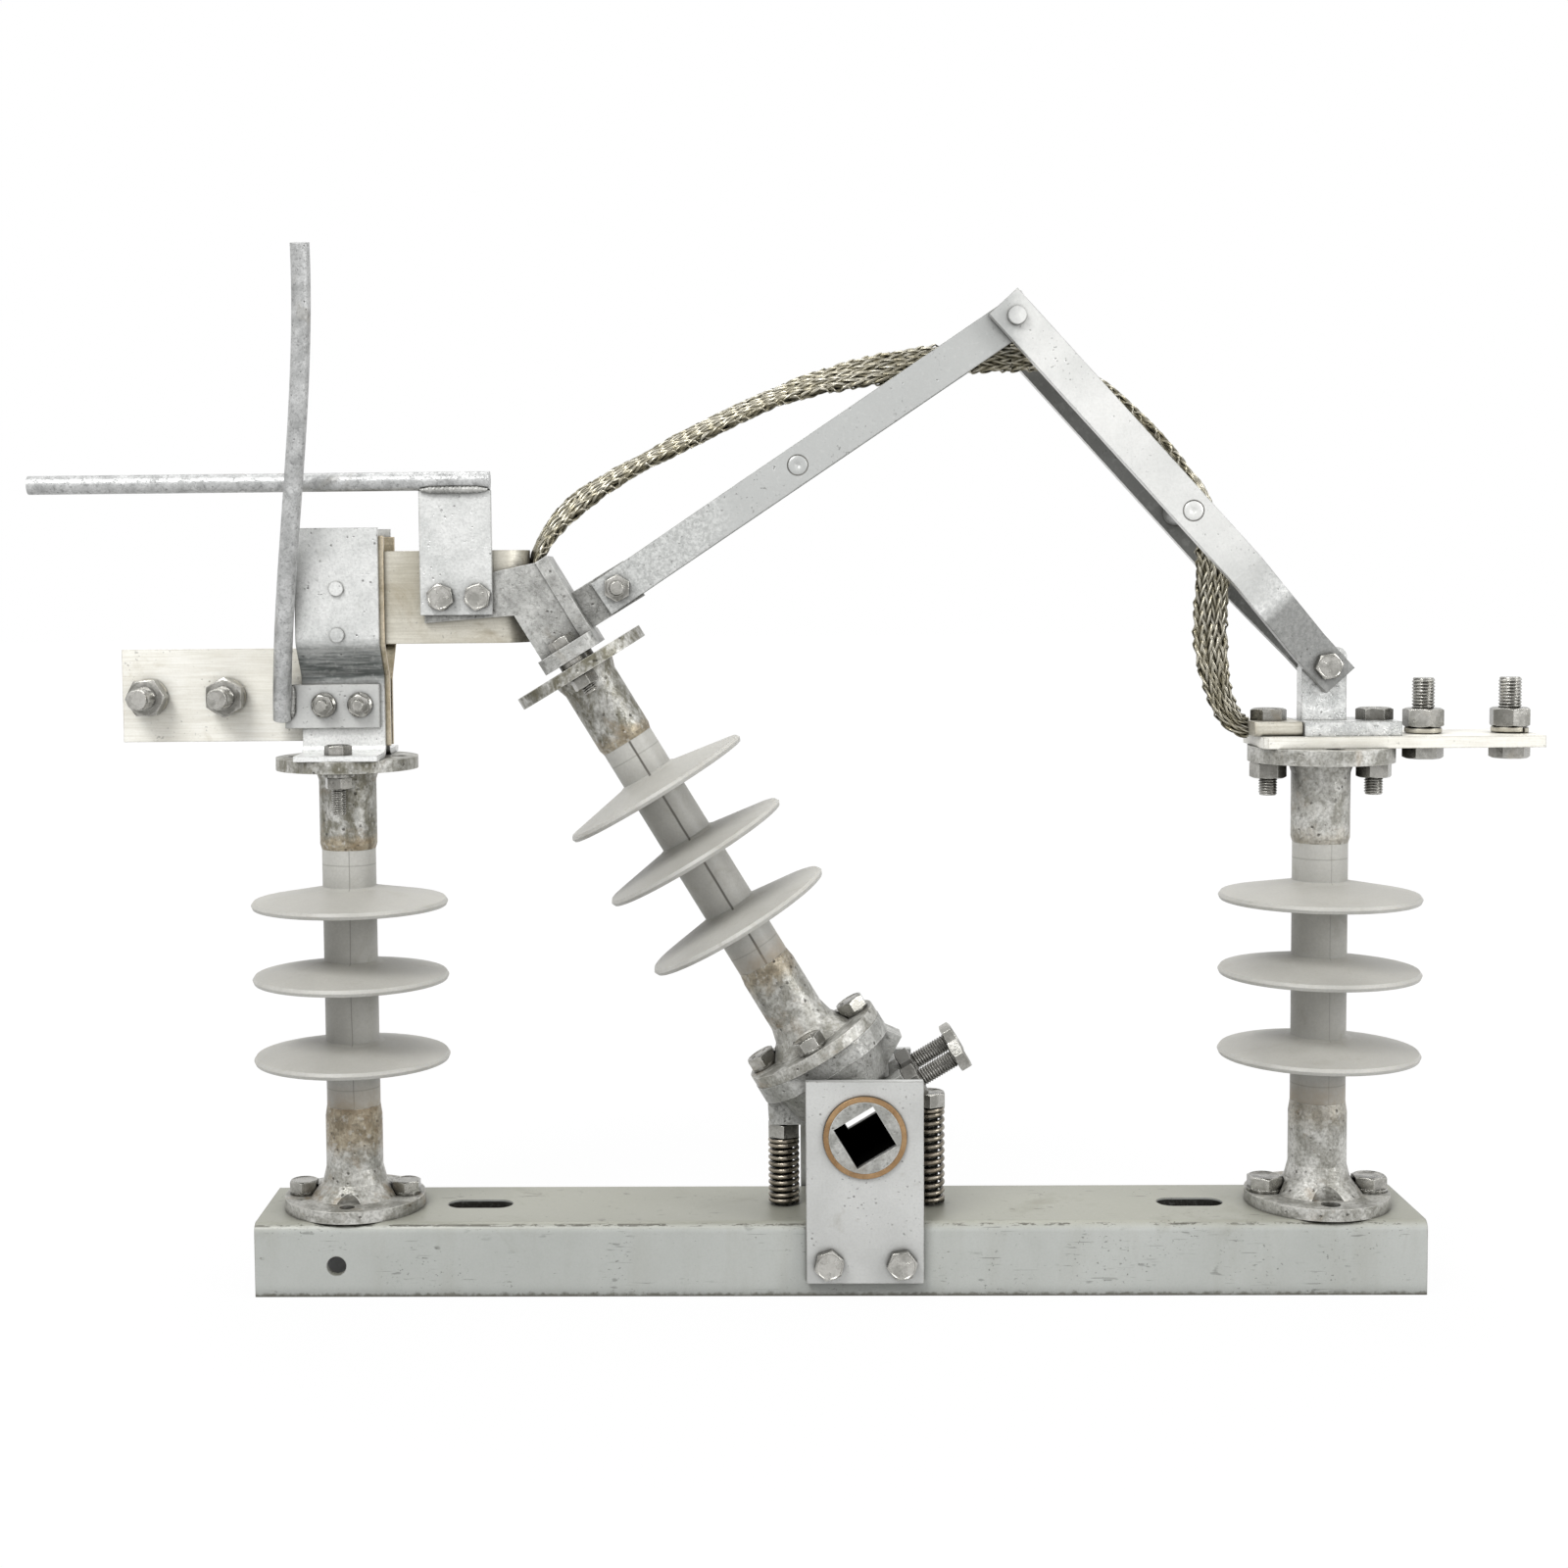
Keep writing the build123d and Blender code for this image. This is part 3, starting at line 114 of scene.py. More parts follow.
class Nodes:
    """A node tree, with short calls for the nodes that are used again and again."""
    def __init__(self, owner, output, coords="Object"):
        owner.use_nodes = True
        self.tree = owner.node_tree
        self.tree.nodes.clear()
        self.out = self.add(output)
        self.coords = self.add("ShaderNodeTexCoord").outputs[coords]

    def add(self, kind, inputs=None, **values):
        node = self.tree.nodes.new(kind)
        for key, value in values.items():
            setattr(node, key, value)
        for key, value in (inputs or {}).items():
            self.put(node.inputs[key], value)
        return node

    def put(self, socket, value):
        if isinstance(value, bpy.types.NodeSocket):
            self.tree.links.new(value, socket)
        elif isinstance(value, (tuple, list)) and len(value) == 3 and len(socket.default_value) == 4:
            socket.default_value = (*value, 1)
        else:
            socket.default_value = value

    def ramp(self, fac, low, high, start=0.0, end=1.0):
        values = {"Value": fac, "From Min": low, "From Max": high, "To Min": start, "To Max": end}
        return self.add("ShaderNodeMapRange", values, clamp=True).outputs[0]

    def fade(self, fac, low, high):
        return self.ramp(fac, low, high, 1.0, 0.0)

    def mix(self, fac, a, b):
        return self.add("ShaderNodeMix", {0: fac, 6: a, 7: b}, data_type="RGBA").outputs[2]

    def maths(self, what, a, b=0.0):
        return self.add("ShaderNodeMath", {0: a, 1: b}, operation=what).outputs[0]

    def plus(self, a, b):
        return self.maths("ADD", a, b)

    def minus(self, a, b):
        return self.maths("SUBTRACT", a, b)

    def times(self, a, b):
        return self.maths("MULTIPLY", a, b)

    def most(self, a, b):
        return self.maths("MAXIMUM", a, b)

    def size(self, a):
        return self.maths("ABSOLUTE", a)

    def reach(self, a, b):
        return self.maths("SQRT", self.plus(self.times(a, a), self.times(b, b)))

    def axis(self, which, vector=None):
        return self.add("ShaderNodeSeparateXYZ", {0: vector or self.coords}).outputs[which]

    def seen(self):
        # 1 for what is seen directly, mirrored or through glass, 0 for scattered light
        ray = self.add("ShaderNodeLightPath").outputs
        return self.most(ray["Is Camera Ray"], self.most(ray["Is Glossy Ray"], ray["Is Transmission Ray"]))

    def show(self, share, first, second):
        # two shaders in one, each given as a node's name with its colour and strength
        shaders = [self.add(name, dict(enumerate(values))).outputs[0] for name, *values in (first, second)]
        mixed = self.add("ShaderNodeMixShader", {0: share, 1: shaders[0], 2: shaders[1]})
        self.put(self.out.inputs[0], mixed.outputs[0])


class Graph(Nodes):
    """A material with one principled shader."""
    def __init__(self, name):
        self.name = name
        self.mat = bpy.data.materials.new(name + "_look")
        super().__init__(self.mat, "ShaderNodeOutputMaterial")
        self.shader = self.add("ShaderNodeBsdfPrincipled")
        self.put(self.out.inputs[0], self.shader.outputs[0])

    def set(self, name, value):
        self.put(self.shader.inputs[name], value)

    def noise(self, scale, detail, rough, at=None, warp=0.0):
        values = {"Vector": at or self.coords, "Scale": scale, "Detail": detail, "Roughness": rough,
                  "Distortion": warp}
        return self.add("ShaderNodeTexNoise", values).outputs["Fac"]

    def wave(self, scale, detail, rough, amount):
        return self.times(self.minus(self.noise(scale, detail, rough), 0.5), amount)

    def cells(self, scale):
        return self.add("ShaderNodeTexVoronoi", {"Vector": self.coords, "Scale": scale}).outputs["Distance"]

    def stretched(self, x, y, z, turn=0.0):
        values = {"Vector": self.coords, "Rotation": (0, turn, 0), "Scale": (x, y, z)}
        return self.add("ShaderNodeMapping", values).outputs[0]

    def local(self, lean, foot):
        # places in metres from the foot of a post, with Z along the post
        values = {"Vector": self.coords, "Location": [v * MM for v in foot], "Rotation": (0, -lean, 0)}
        return self.add("ShaderNodeMapping", values, vector_type="TEXTURE").outputs[0]

    def normal(self):
        return self.add("ShaderNodeNewGeometry").outputs["Normal"]

    def facing_up(self):
        return self.axis("Z", self.normal())

    def island(self):
        return self.add("ShaderNodeNewGeometry").outputs["Random Per Island"]

    def rounded(self, radius):
        return self.add("ShaderNodeBevel", {"Radius": radius}, samples=4).outputs[0]

    def edges(self):
        dot = self.add("ShaderNodeVectorMath", {0: self.rounded(0.0009), 1: self.normal()},
                       operation="DOT_PRODUCT")
        return self.ramp(self.minus(1.0, dot.outputs["Value"]), 0.004, 0.10)

    def crevice(self, distance):
        # ambient occlusion, which the materials turn into painted shade in crevices
        return self.add("ShaderNodeAmbientOcclusion", {"Distance": distance}, samples=6).outputs["AO"]

    def streaks(self, stretch):
        # thin broken marks: noise drawn out along one way, kept in some places only
        lines = self.ramp(self.noise(1.0, 2, 0.5, at=self.stretched(*stretch)), 0.66, 0.71)
        return self.times(lines, self.ramp(self.noise(30, 3, 0.6), 0.48, 0.58))

    def relief(self, *heights, soften=0.0005):
        # each height is (value, depth in metres, strength)
        normal = self.rounded(soften) if soften else None
        for height, depth, strength in heights:
            bump = self.add("ShaderNodeBump", {"Strength": strength, "Distance": depth, "Height": height})
            if normal:
                self.put(bump.inputs["Normal"], normal)
            normal = bump.outputs[0]
        self.set("Normal", normal)


# the colour of grime marks, and of painted shade in crevices
GRIME_AND_SHADE = (0.035, 0.032, 0.024)


def plated(name, dark, tone, light, metal, rough, cloud=28.0, spread=(0.42, 0.58), grain=900.0,
           grit=0.3, blotch=None, pit=0.0, stain=None, stain_amount=0.0, stain_scale=22.0, worn=None,
           brushed=None, marks=(), depth=0.00012, vary=0.0, shaded_top=None, shade=0.6, tint=None):
    """A metal or painted surface with clouds, grain, pits, marks, stains, worn edges and painted shade in
    crevices.
    """
    g = Graph(name)
    clouds = g.noise(cloud, 6, 0.6, warp=0.3)
    fine = g.noise(grain, 3, 0.6)
    colour = g.mix(g.ramp(clouds, *spread), tone, light)
    # painted shade: faces turned up are darkened towards the given colour
    if shaded_top:
        colour = g.mix(g.ramp(g.facing_up(), 0.2, 0.9), colour, g.mix(0.75, colour, shaded_top))
    if tint:
        colour = tint(g, colour)
    colour = g.mix(g.ramp(fine, 0.42, 0.66, 0.0, grit), colour, dark)
    specks = g.ramp(g.noise(grain * 0.45, 2, 0.5), 0.58, 0.68)
    colour = g.mix(g.times(specks, grit), colour, light)
    heights = [(fine, depth, 0.35), (g.noise(cloud * 6, 4, 0.6), depth * 4, 0.18)]
    if blotch:
        scale, low, high, amount = blotch
        patch = g.noise(scale, 6, 0.7, warp=0.5)
        colour = g.mix(g.ramp(patch, low, high, 0.0, amount), colour, dark)
        heights.append((g.fade(patch, low, high), depth, 0.4))
    if brushed:
        lines = g.noise(1.0, 3, 0.6, at=g.stretched(*brushed))
        colour = g.mix(g.ramp(lines, 0.35, 0.65, 0.0, 0.35), colour, dark)
        heights.append((lines, depth, 0.25))
    if pit:
        some = g.ramp(g.noise(cloud * 2.2, 3, 0.6), 0.62 - pit, 0.72 - pit)
        holes = g.times(g.fade(g.cells(grain * 0.35), 0.10, 0.22), some)
        colour = g.mix(g.times(holes, 0.75), colour, g.mix(0.6, dark, (0.02, 0.018, 0.015)))
        heights.append((g.times(holes, -1.0), depth * 2.5, 0.6))
    roughness = g.ramp(clouds, 0.3, 0.7, rough - 0.08, rough + 0.1)
    if stain:
        patch = g.noise(stain_scale, 7, 0.66, warp=0.8)
        amount = g.ramp(patch, 0.60 - stain_amount, 0.74 - stain_amount * 0.6)
        colour = g.mix(g.times(amount, 0.7), colour, stain)
        roughness = g.plus(roughness, g.times(amount, 0.25))
    for stretch, amount in marks:
        colour = g.mix(g.times(g.streaks(stretch), amount), colour, GRIME_AND_SHADE)
    if worn:
        edge = g.times(g.edges(), g.ramp(g.noise(160, 4, 0.6), 0.35, 0.6, 0.35, 1.0))
        colour = g.mix(g.times(edge, 0.85), colour, worn)
    if vary:
        colour = g.mix(g.ramp(g.island(), 0, 1, 0, vary), colour, dark)
    # painted shade: crevices and the feet of parts are darkened, at two reaches
    colour = g.mix(g.ramp(g.crevice(0.011), 0.25, 0.80, shade, 0.0), colour, GRIME_AND_SHADE)
    colour = g.mix(g.ramp(g.crevice(0.0025), 0.35, 0.75, shade, 0.0), colour, GRIME_AND_SHADE)
    g.set("Base Color", colour)
    g.set("Metallic", metal)
    g.set("Roughness", roughness)
    g.relief(*heights)
    return g


surfaces = {}


def keep(graph):
    surfaces[graph.name] = graph.mat


def link_tint(g, colour):
    # near white by the knee, grey on the inner arm and past each outer bend, and painted shade between the
    # bars
    shade_between_bars = (0.09, 0.092, 0.085)
    knee_x, knee_z = (v * MM for v in KNEE_RIVET)
    down_x, down_z = (Vector(OUTER_RIVET) - Vector(KNEE_RIVET)).normalized()
    x, y, z = g.axis("X"), g.axis("Y"), g.axis("Z")
    wave = g.wave(55, 4, 0.6, 0.030)
    wavy_x = g.plus(x, wave)
    # the wavy distance from the knee down the outer arm
    run = g.plus(g.times(g.minus(x, knee_x), down_x), g.times(g.minus(z, knee_z), down_z))
    run = g.plus(run, wave)
    grain = g.ramp(g.noise(520, 3, 0.7), 0.40, 0.62)
    past = g.times(g.ramp(run, 0.166, 0.188), g.ramp(run, 0.200, 0.238, 1.0, 0.45))
    colour = g.mix(g.times(past, 0.3), colour, g.mix(grain, (0.20, 0.215, 0.21), (0.44, 0.455, 0.45)))
    hinge = g.times(g.ramp(run, 0.192, 0.206), 0.75)
    colour = g.mix(hinge, colour, g.mix(grain, (0.62, 0.63, 0.62), (0.97, 0.97, 0.955)))
    speckled = g.mix(grain, (0.40, 0.41, 0.40), (0.66, 0.67, 0.655))
    grey = g.mix(g.fade(wavy_x, -0.070, -0.050), (0.45, 0.46, 0.45), speckled)
    colour = g.mix(g.times(g.fade(wavy_x, 0.090, 0.100), 0.85), colour, grey)
    # painted shade: the inner faces of the bars and the rivet bodies between them are darkened
    inward = g.times(y, g.axis("Y", g.normal()))
    colour = g.mix(g.ramp(inward, -0.010, -0.004, 0.78, 0.0), colour, shade_between_bars)
    inner = g.fade(g.size(y), 0.0105, 0.0125)
    outer = g.times(g.fade(g.size(y), 0.0185, 0.0205), g.ramp(x, 0.12, 0.14))
    return g.mix(g.times(g.most(inner, outer), 0.7), colour, shade_between_bars)


def jaw_shade_and_highlight(g, colour):
    # bright plates, with painted shade in the hollow of the joggle and a painted highlight that makes the
    # plate below it near white
    up = g.plus(g.axis("Z"), g.wave(90, 4, 0.6, 0.006))
    hollow = g.times(g.ramp(up, 0.317, 0.304), g.ramp(up, 0.287, 0.293))
    lines = g.ramp(g.noise(1.0, 3, 0.6, at=g.stretched(60, 60, 700)), 0.40, 0.60, 0.55, 1.0)
    colour = g.mix(g.times(hollow, lines), colour, (0.13, 0.145, 0.14))
    # painted highlight: below the joggle the plate is near white
    return g.mix(g.ramp(up, 0.287, 0.283), colour, (0.88, 0.885, 0.87))


def facet_shine_and_shade(g, colour):
    # painted highlight and shade: each flat of a hexagon is lighter or darker by the way it faces
    facets = g.ramp(g.noise(3.2, 1, 0.5, at=g.normal()), 0.44, 0.56)
    shaded_facet = g.mix(0.55, colour, (0.06, 0.057, 0.048))
    return g.mix(facets, shaded_facet, g.mix(0.08, colour, (0.75, 0.74, 0.70)))


def channel_tint(g, colour):
    # a grimy lower edge, chipped upper edges, nicks, faint runs, and painted shade that makes the walls in
    # the slots black
    y, z = g.size(g.axis("Y")), g.axis("Z")
    low = g.ramp(g.plus(z, g.wave(210, 5, 0.7, 0.0065)), -0.0378, -0.0392, 0.0, 0.85)
    colour = g.mix(low, colour, (0.10, 0.095, 0.07))
    corner = g.times(g.fade(g.size(z), 0.0016, 0.0024), g.ramp(y, 0.0350, 0.0358))
    chips = g.ramp(g.noise(1.0, 5, 0.75, at=g.stretched(70, 260, 260)), 0.50, 0.54)
    colour = g.mix(g.times(g.times(corner, chips), 0.9), colour, (0.07, 0.066, 0.05))
    nicks = g.ramp(g.noise(1.0, 3, 0.6, at=g.stretched(150, 420, 600)), 0.70, 0.74)
    colour = g.mix(g.times(nicks, 0.7), colour, (0.09, 0.085, 0.065))
    runs = g.ramp(g.noise(1.0, 4, 0.6, at=g.stretched(45, 45, 8)), 0.50, 0.70, 0.0, 0.30)
    colour = g.mix(runs, colour, (0.34, 0.335, 0.29))
    upright = g.fade(g.size(g.facing_up()), 0.4, 0.6)
    # painted shade: upright walls inside the slots are near black
    wall = g.times(g.fade(y, 0.0300, 0.0305), g.ramp(z, -0.0006, -0.0012))
    return g.mix(g.times(upright, wall), colour, (0.012, 0.011, 0.008))


# Metals and paint
WIDE = (0.35, 0.65)
PAINT_MARKS = ((50, 300, 900), 0.5), ((90, 90, 300), 0.4), ((500, 500, 700), 0.5)
ROUGH_CAST = dict(cloud=70, grain=620, blotch=(420, 0.50, 0.66, 0.5), pit=0.14, stain=(0.22, 0.19, 0.14),
                  worn=(0.70, 0.70, 0.67), depth=0.00045, shade=0.8)
TINNED = dict(cloud=24, pit=0.03, stain_scale=30, worn=(0.25, 0.23, 0.17), brushed=(40, 400, 900),
              marks=(((500, 500, 500), 0.35),))

keep(plated("channel_paint", (0.26, 0.265, 0.24), (0.43, 0.445, 0.42), (0.50, 0.515, 0.49), 0.1, 0.42,
            cloud=9, spread=WIDE, grit=0.10, stain=(0.30, 0.295, 0.25), stain_scale=14,
            worn=(0.13, 0.125, 0.10), depth=0.00008, shaded_top=(0.30, 0.295, 0.235), marks=PAINT_MARKS,
            tint=channel_tint, shade=0.75))
keep(plated("galvanised_steel", (0.29, 0.29, 0.275), (0.52, 0.525, 0.51), (0.60, 0.605, 0.59), 0.35, 0.42,
            cloud=30, spread=WIDE, grain=800, grit=0.14, pit=0.06, stain=(0.34, 0.32, 0.27),
            worn=(0.16, 0.155, 0.13), marks=(((420, 420, 700), 0.5),), shade=0.75))
keep(plated("galvanised_casting", (0.11, 0.11, 0.095), (0.34, 0.34, 0.325), (0.52, 0.52, 0.50), 0.5, 0.45,
            stain_amount=0.02, **ROUGH_CAST))
keep(plated("galvanised_rod", (0.11, 0.11, 0.11), (0.36, 0.365, 0.36), (0.62, 0.625, 0.62), 0.5, 0.38,
            cloud=110, spread=(0.34, 0.66), grain=1000, grit=0.25, pit=0.08,
            blotch=(480, 0.52, 0.64, 0.5), stain=(0.30, 0.28, 0.24), depth=0.0002))
keep(plated("link_steel", (0.33, 0.335, 0.32), (0.70, 0.705, 0.685), (0.79, 0.79, 0.77), 0.35, 0.36,
            cloud=24, spread=WIDE, grain=800, grit=0.10, pit=0.08, worn=(0.15, 0.15, 0.13),
            marks=(((600, 600, 600), 0.5),), depth=0.00016, tint=link_tint, shade=0.7))
keep(plated("zinc_bolts", (0.09, 0.085, 0.07), (0.31, 0.305, 0.28), (0.50, 0.49, 0.46), 0.85, 0.24,
            cloud=120, grain=700, grit=0.2, pit=0.03, stain=(0.26, 0.21, 0.14), stain_amount=0.02,
            worn=(0.66, 0.65, 0.61), vary=0.2, shade=0.95, tint=facet_shine_and_shade))
keep(plated("black_bolts", (0.035, 0.033, 0.028), (0.13, 0.126, 0.115), (0.22, 0.215, 0.20), 0.6, 0.4,
            cloud=80, grain=800, grit=0.15, stain=(0.16, 0.08, 0.035), worn=(0.42, 0.41, 0.38),
            shade=0.8))
keep(plated("spring_steel", (0.06, 0.05, 0.037), (0.22, 0.195, 0.155), (0.38, 0.34, 0.28), 0.9, 0.27,
            cloud=120, grit=0.2, stain=(0.13, 0.075, 0.04), stain_amount=0.02, shade=0.8))
keep(plated("jaw_steel", (0.17, 0.175, 0.17), (0.63, 0.64, 0.625), (0.75, 0.755, 0.74), 0.35, 0.36,
            cloud=60, spread=(0.36, 0.64), grain=760, grit=0.22, pit=0.10,
            blotch=(420, 0.58, 0.68, 0.35), stain=(0.42, 0.42, 0.39), worn=(0.17, 0.17, 0.15),
            depth=0.0003, shade=0.75, tint=jaw_shade_and_highlight))
keep(plated("contact_copper", (0.14, 0.125, 0.085), (0.42, 0.36, 0.25), (0.64, 0.57, 0.44), 0.8, 0.34,
            cloud=60, grain=800, stain=(0.17, 0.20, 0.13), stain_amount=0.04, worn=(0.62, 0.50, 0.34)))
keep(plated("tinned_copper", (0.31, 0.28, 0.21), (0.56, 0.53, 0.44), (0.68, 0.655, 0.575), 0.5, 0.32,
            grit=0.14, stain=(0.36, 0.315, 0.235), stain_amount=0.03, shade=0.5, **TINNED))
keep(plated("tinned_bar", (0.60, 0.56, 0.46), (0.93, 0.915, 0.84), (0.98, 0.97, 0.91), 0.2, 0.36,
            grit=0.12, stain=(0.56, 0.52, 0.42), **TINNED))
keep(plated("bronze", (0.10, 0.06, 0.03), (0.29, 0.175, 0.085), (0.42, 0.27, 0.14), 0.85, 0.3,
            cloud=60, grain=800, grit=0.2, stain=(0.10, 0.07, 0.045), stain_amount=0.03))
keep(plated("hinge_steel", (0.21, 0.215, 0.21), (0.58, 0.59, 0.58), (0.86, 0.865, 0.85), 0.55, 0.30,
            cloud=120, spread=(0.40, 0.60), grain=760, grit=0.25, pit=0.08,
            blotch=(340, 0.54, 0.64, 0.5), worn=(0.20, 0.20, 0.18), depth=0.0004, shade=0.5))


def rocker_material():
    # painted shade: the walls of the rocker's square drive hole are black below the first few millimetres
    def hole_shade(g, colour):
        out = g.reach(g.minus(g.axis("X"), PIVOT_X * MM), g.minus(g.axis("Z"), PIVOT_Z * MM))
        flat = g.size(g.axis("Y", g.normal()))
        wall = g.times(g.fade(out, 0.0178, 0.0182), g.fade(flat, 0.3, 0.6))
        g.hollow = g.times(wall, g.fade(g.size(g.axis("Y")), 0.0395, 0.0440))
        return colour

    g = plated("galvanised_rocker", (0.10, 0.10, 0.085), (0.33, 0.33, 0.31), (0.49, 0.49, 0.47), 0.5, 0.45,
               stain_amount=0.03, tint=hole_shade, **ROUGH_CAST)
    colour = g.shader.inputs["Base Color"].links[0].from_socket
    # painted shade in the hole: black, with no specular or metal shine
    g.set("Base Color", g.mix(g.hollow, colour, (0.0015, 0.0015, 0.0012)))
    for name in ("Specular IOR Level", "Metallic"):
        g.set(name, g.ramp(g.hollow, 0, 1, 0.5, 0.0))
    return g


def fitting_material(name, lean, foot, dirt, olive_low, olive_high, drip=0.0):
    # an end fitting: olive dirt in patches and a brown band where the rubber starts
    def weathered(g, colour):
        up = g.axis("Z", g.local(lean, foot))
        wavy_up = g.plus(up, g.wave(120, 4, 0.65, 0.020))
        amount = g.ramp(up, 0.11, 0.13, olive_low, olive_high)
        patch = g.ramp(g.noise(1.0, 6, 0.7, at=g.stretched(150, 150, 60, -lean), warp=0.4), 0.40, 0.60)
        colour = g.mix(g.times(patch, amount), colour, (0.15, 0.14, 0.095))
        low_band = g.times(g.ramp(wavy_up, 0.041 - drip, 0.050 - drip), g.fade(up, 0.100, 0.102))
        high_band = g.times(g.fade(wavy_up, 0.203, 0.209), g.ramp(up, 0.150, 0.152))
        brown = g.mix(g.ramp(g.noise(160, 4, 0.6), 0.4, 0.6), (0.21, 0.165, 0.10), (0.42, 0.36, 0.26))
        return g.mix(g.times(g.plus(low_band, high_band), dirt), colour, brown)

    return plated(name, (0.065, 0.06, 0.044), (0.35, 0.345, 0.315), (0.62, 0.615, 0.585), 0.5, 0.40,
                  cloud=85, spread=(0.43, 0.57), grain=620, grit=0.42, pit=0.16, stain=(0.27, 0.20, 0.12),
                  stain_amount=0.05 * dirt, stain_scale=40, worn=(0.64, 0.63, 0.58), depth=0.00045,
                  shade=0.8, tint=weathered)


def housing_material(name, lean, foot, split):
    # silicone rubber with dust in patches and a thin moulding seam down the front
    g = Graph(name)
    clouds = g.noise(24, 6, 0.6, warp=0.4)
    fine = g.noise(700, 3, 0.6)
    tone = g.mix(g.ramp(clouds, *WIDE), (0.45, 0.445, 0.415), (0.56, 0.555, 0.52))
    tone = g.mix(g.ramp(fine, 0.35, 0.7, 0, 0.3), tone, (0.35, 0.34, 0.31))
    grime = g.times(g.ramp(g.noise(60, 6, 0.7, warp=0.6), 0.56, 0.72), 0.45)
    tone = g.mix(grime, tone, (0.31, 0.285, 0.23))
    tone = g.mix(g.ramp(g.facing_up(), 0.3, 1.0, 0, 0.35), tone, (0.40, 0.385, 0.34))
    local = g.local(lean, foot)
    across, front, up = g.axis("X", local), g.axis("Y", local), g.axis("Z", local)
    wander = g.wave(16, 3, 0.6, 0.002)
    off_seam = g.size(g.plus(g.minus(across, 0.0022), wander))
    seam = g.fade(off_seam, 0.0004 * split, 0.0009 * split)
    seam = g.times(g.times(seam, g.fade(front, -0.012, -0.008)), g.ramp(front, -0.0175, -0.0165))
    tone = g.mix(g.times(seam, split), tone, (0.08, 0.072, 0.06))
    # thin dark lines at the ends of the moulding, and dirt by the lower fitting
    tube = g.fade(g.reach(across, front), 0.0155, 0.017)
    lip = g.plus(up, g.times(wander, 0.6))
    for low, high in ((0.0667, 0.0670), (0.1905, 0.1908)):
        line = g.times(g.ramp(lip, low - 0.0004, low), g.fade(lip, high, high + 0.0004))
        tone = g.mix(g.times(g.times(line, tube), 0.35), tone, (0.13, 0.12, 0.10))
    dirt = g.times(g.fade(lip, 0.058, 0.072), g.ramp(g.noise(90, 5, 0.7), 0.35, 0.6, 0.25, 0.9))
    tone = g.mix(g.times(dirt, tube), tone, (0.40, 0.335, 0.25))
    # painted shade in crevices, such as under each shed
    tone = g.mix(g.ramp(g.crevice(0.030), 0.3, 0.85, 0.65, 0.0), tone, (0.20, 0.195, 0.175))
    g.set("Base Color", tone)
    g.set("Roughness", g.ramp(clouds, 0.3, 0.7, 0.38, 0.55))
    g.set("Subsurface Weight", 0.12)
    g.set("Subsurface Radius", (0.006, 0.0055, 0.0045))
    g.set("Subsurface Scale", 0.6)
    g.relief((fine, 0.00008, 0.25), (g.noise(140, 4, 0.6), 0.0004, 0.15), soften=0.0006)
    return g


def braid_material():
    # bright strands, with painted shade: near black where they dip under each other
    # U is a strand's height in the weave and V the way across it
    g = Graph("braid_wire")
    strand = g.add("ShaderNodeUVMap").outputs[0]
    height, across = g.axis("X", strand), g.axis("Y", strand)
    wires = g.maths("SINE", g.times(across, 2 * math.pi * 2.5))
    dome = g.maths("SINE", g.times(across, math.pi))
    # painted light and shade: high in the weave is light, low is near black, and each strand's edges and
    # the grooves between its wires are dark
    tone = g.mix(g.ramp(height, 0.25, 0.95), (0.05, 0.044, 0.026), (0.80, 0.77, 0.67))
    tone = g.mix(g.ramp(dome, 0.35, 0.85, 0.92, 0.0), tone, (0.02, 0.018, 0.01))
    tone = g.mix(g.ramp(wires, -0.6, 0.9, 0.0, 0.65), tone, (0.10, 0.09, 0.055))
    tone = g.mix(g.ramp(g.island(), 0, 1, 0, 0.45), tone, (0.30, 0.27, 0.19))
    tone = g.mix(g.ramp(g.noise(150, 5, 0.6), 0.42, 0.62, 0, 0.6), tone, (0.17, 0.15, 0.09))
    # painted shade in crevices
    tone = g.mix(g.ramp(g.crevice(0.004), 0.2, 0.8, 0.85, 0.0), tone, (0.01, 0.009, 0.005))
    g.set("Base Color", tone)
    g.set("Metallic", 0.7)
    g.set("Roughness", 0.28)
    g.relief((wires, 0.00015, 0.6), (g.noise(1500, 3, 0.6), 0.0001, 0.3), soften=0)
    return g


keep(rocker_material())
keep(braid_material())
keep(housing_material("polymer_left", 0.0, (LEFT, 0, 0), 0.45))
keep(housing_material("polymer_right", 0.0, (RIGHT, 0, 0), 0.35))
keep(housing_material("polymer_tilt", LEAN, TILT_FOOT, 0.95))
keep(fitting_material("cast_left", 0.0, (LEFT, 0, 0), 0.9, 0.20, 0.85, drip=0.012))
keep(fitting_material("cast_right", 0.0, (RIGHT, 0, 0), 0.4, 0.15, 0.30))
keep(fitting_material("cast_tilt", LEAN, TILT_FOOT, 0.8, 0.40, 0.95))


# Meshes

def stand(name, data):
    obj = bpy.data.objects.new(name, data)
    bpy.context.collection.objects.link(obj)
    return obj


def piece(name, verts, faces, material, body, sharp=38, uvs=None):
    mesh = bpy.data.meshes.new(name)
    mesh.from_pydata([tuple(v) for v in verts], [], faces)
    mesh.update()
    if uvs:
        layer = mesh.uv_layers.new(name="UVMap")
        for loop in mesh.loops:
            layer.data[loop.index].uv = uvs[loop.vertex_index]
    mesh.materials.append(surfaces[material])
    mesh.shade_smooth()
    if sharp:
        mesh.set_sharp_from_angle(angle=math.radians(sharp))
    obj = stand(name, mesh)
    if body:
        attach(obj, body)
    return obj


def behind(seat):
    return seat @ Matrix.Rotation(math.pi, 4, "X")


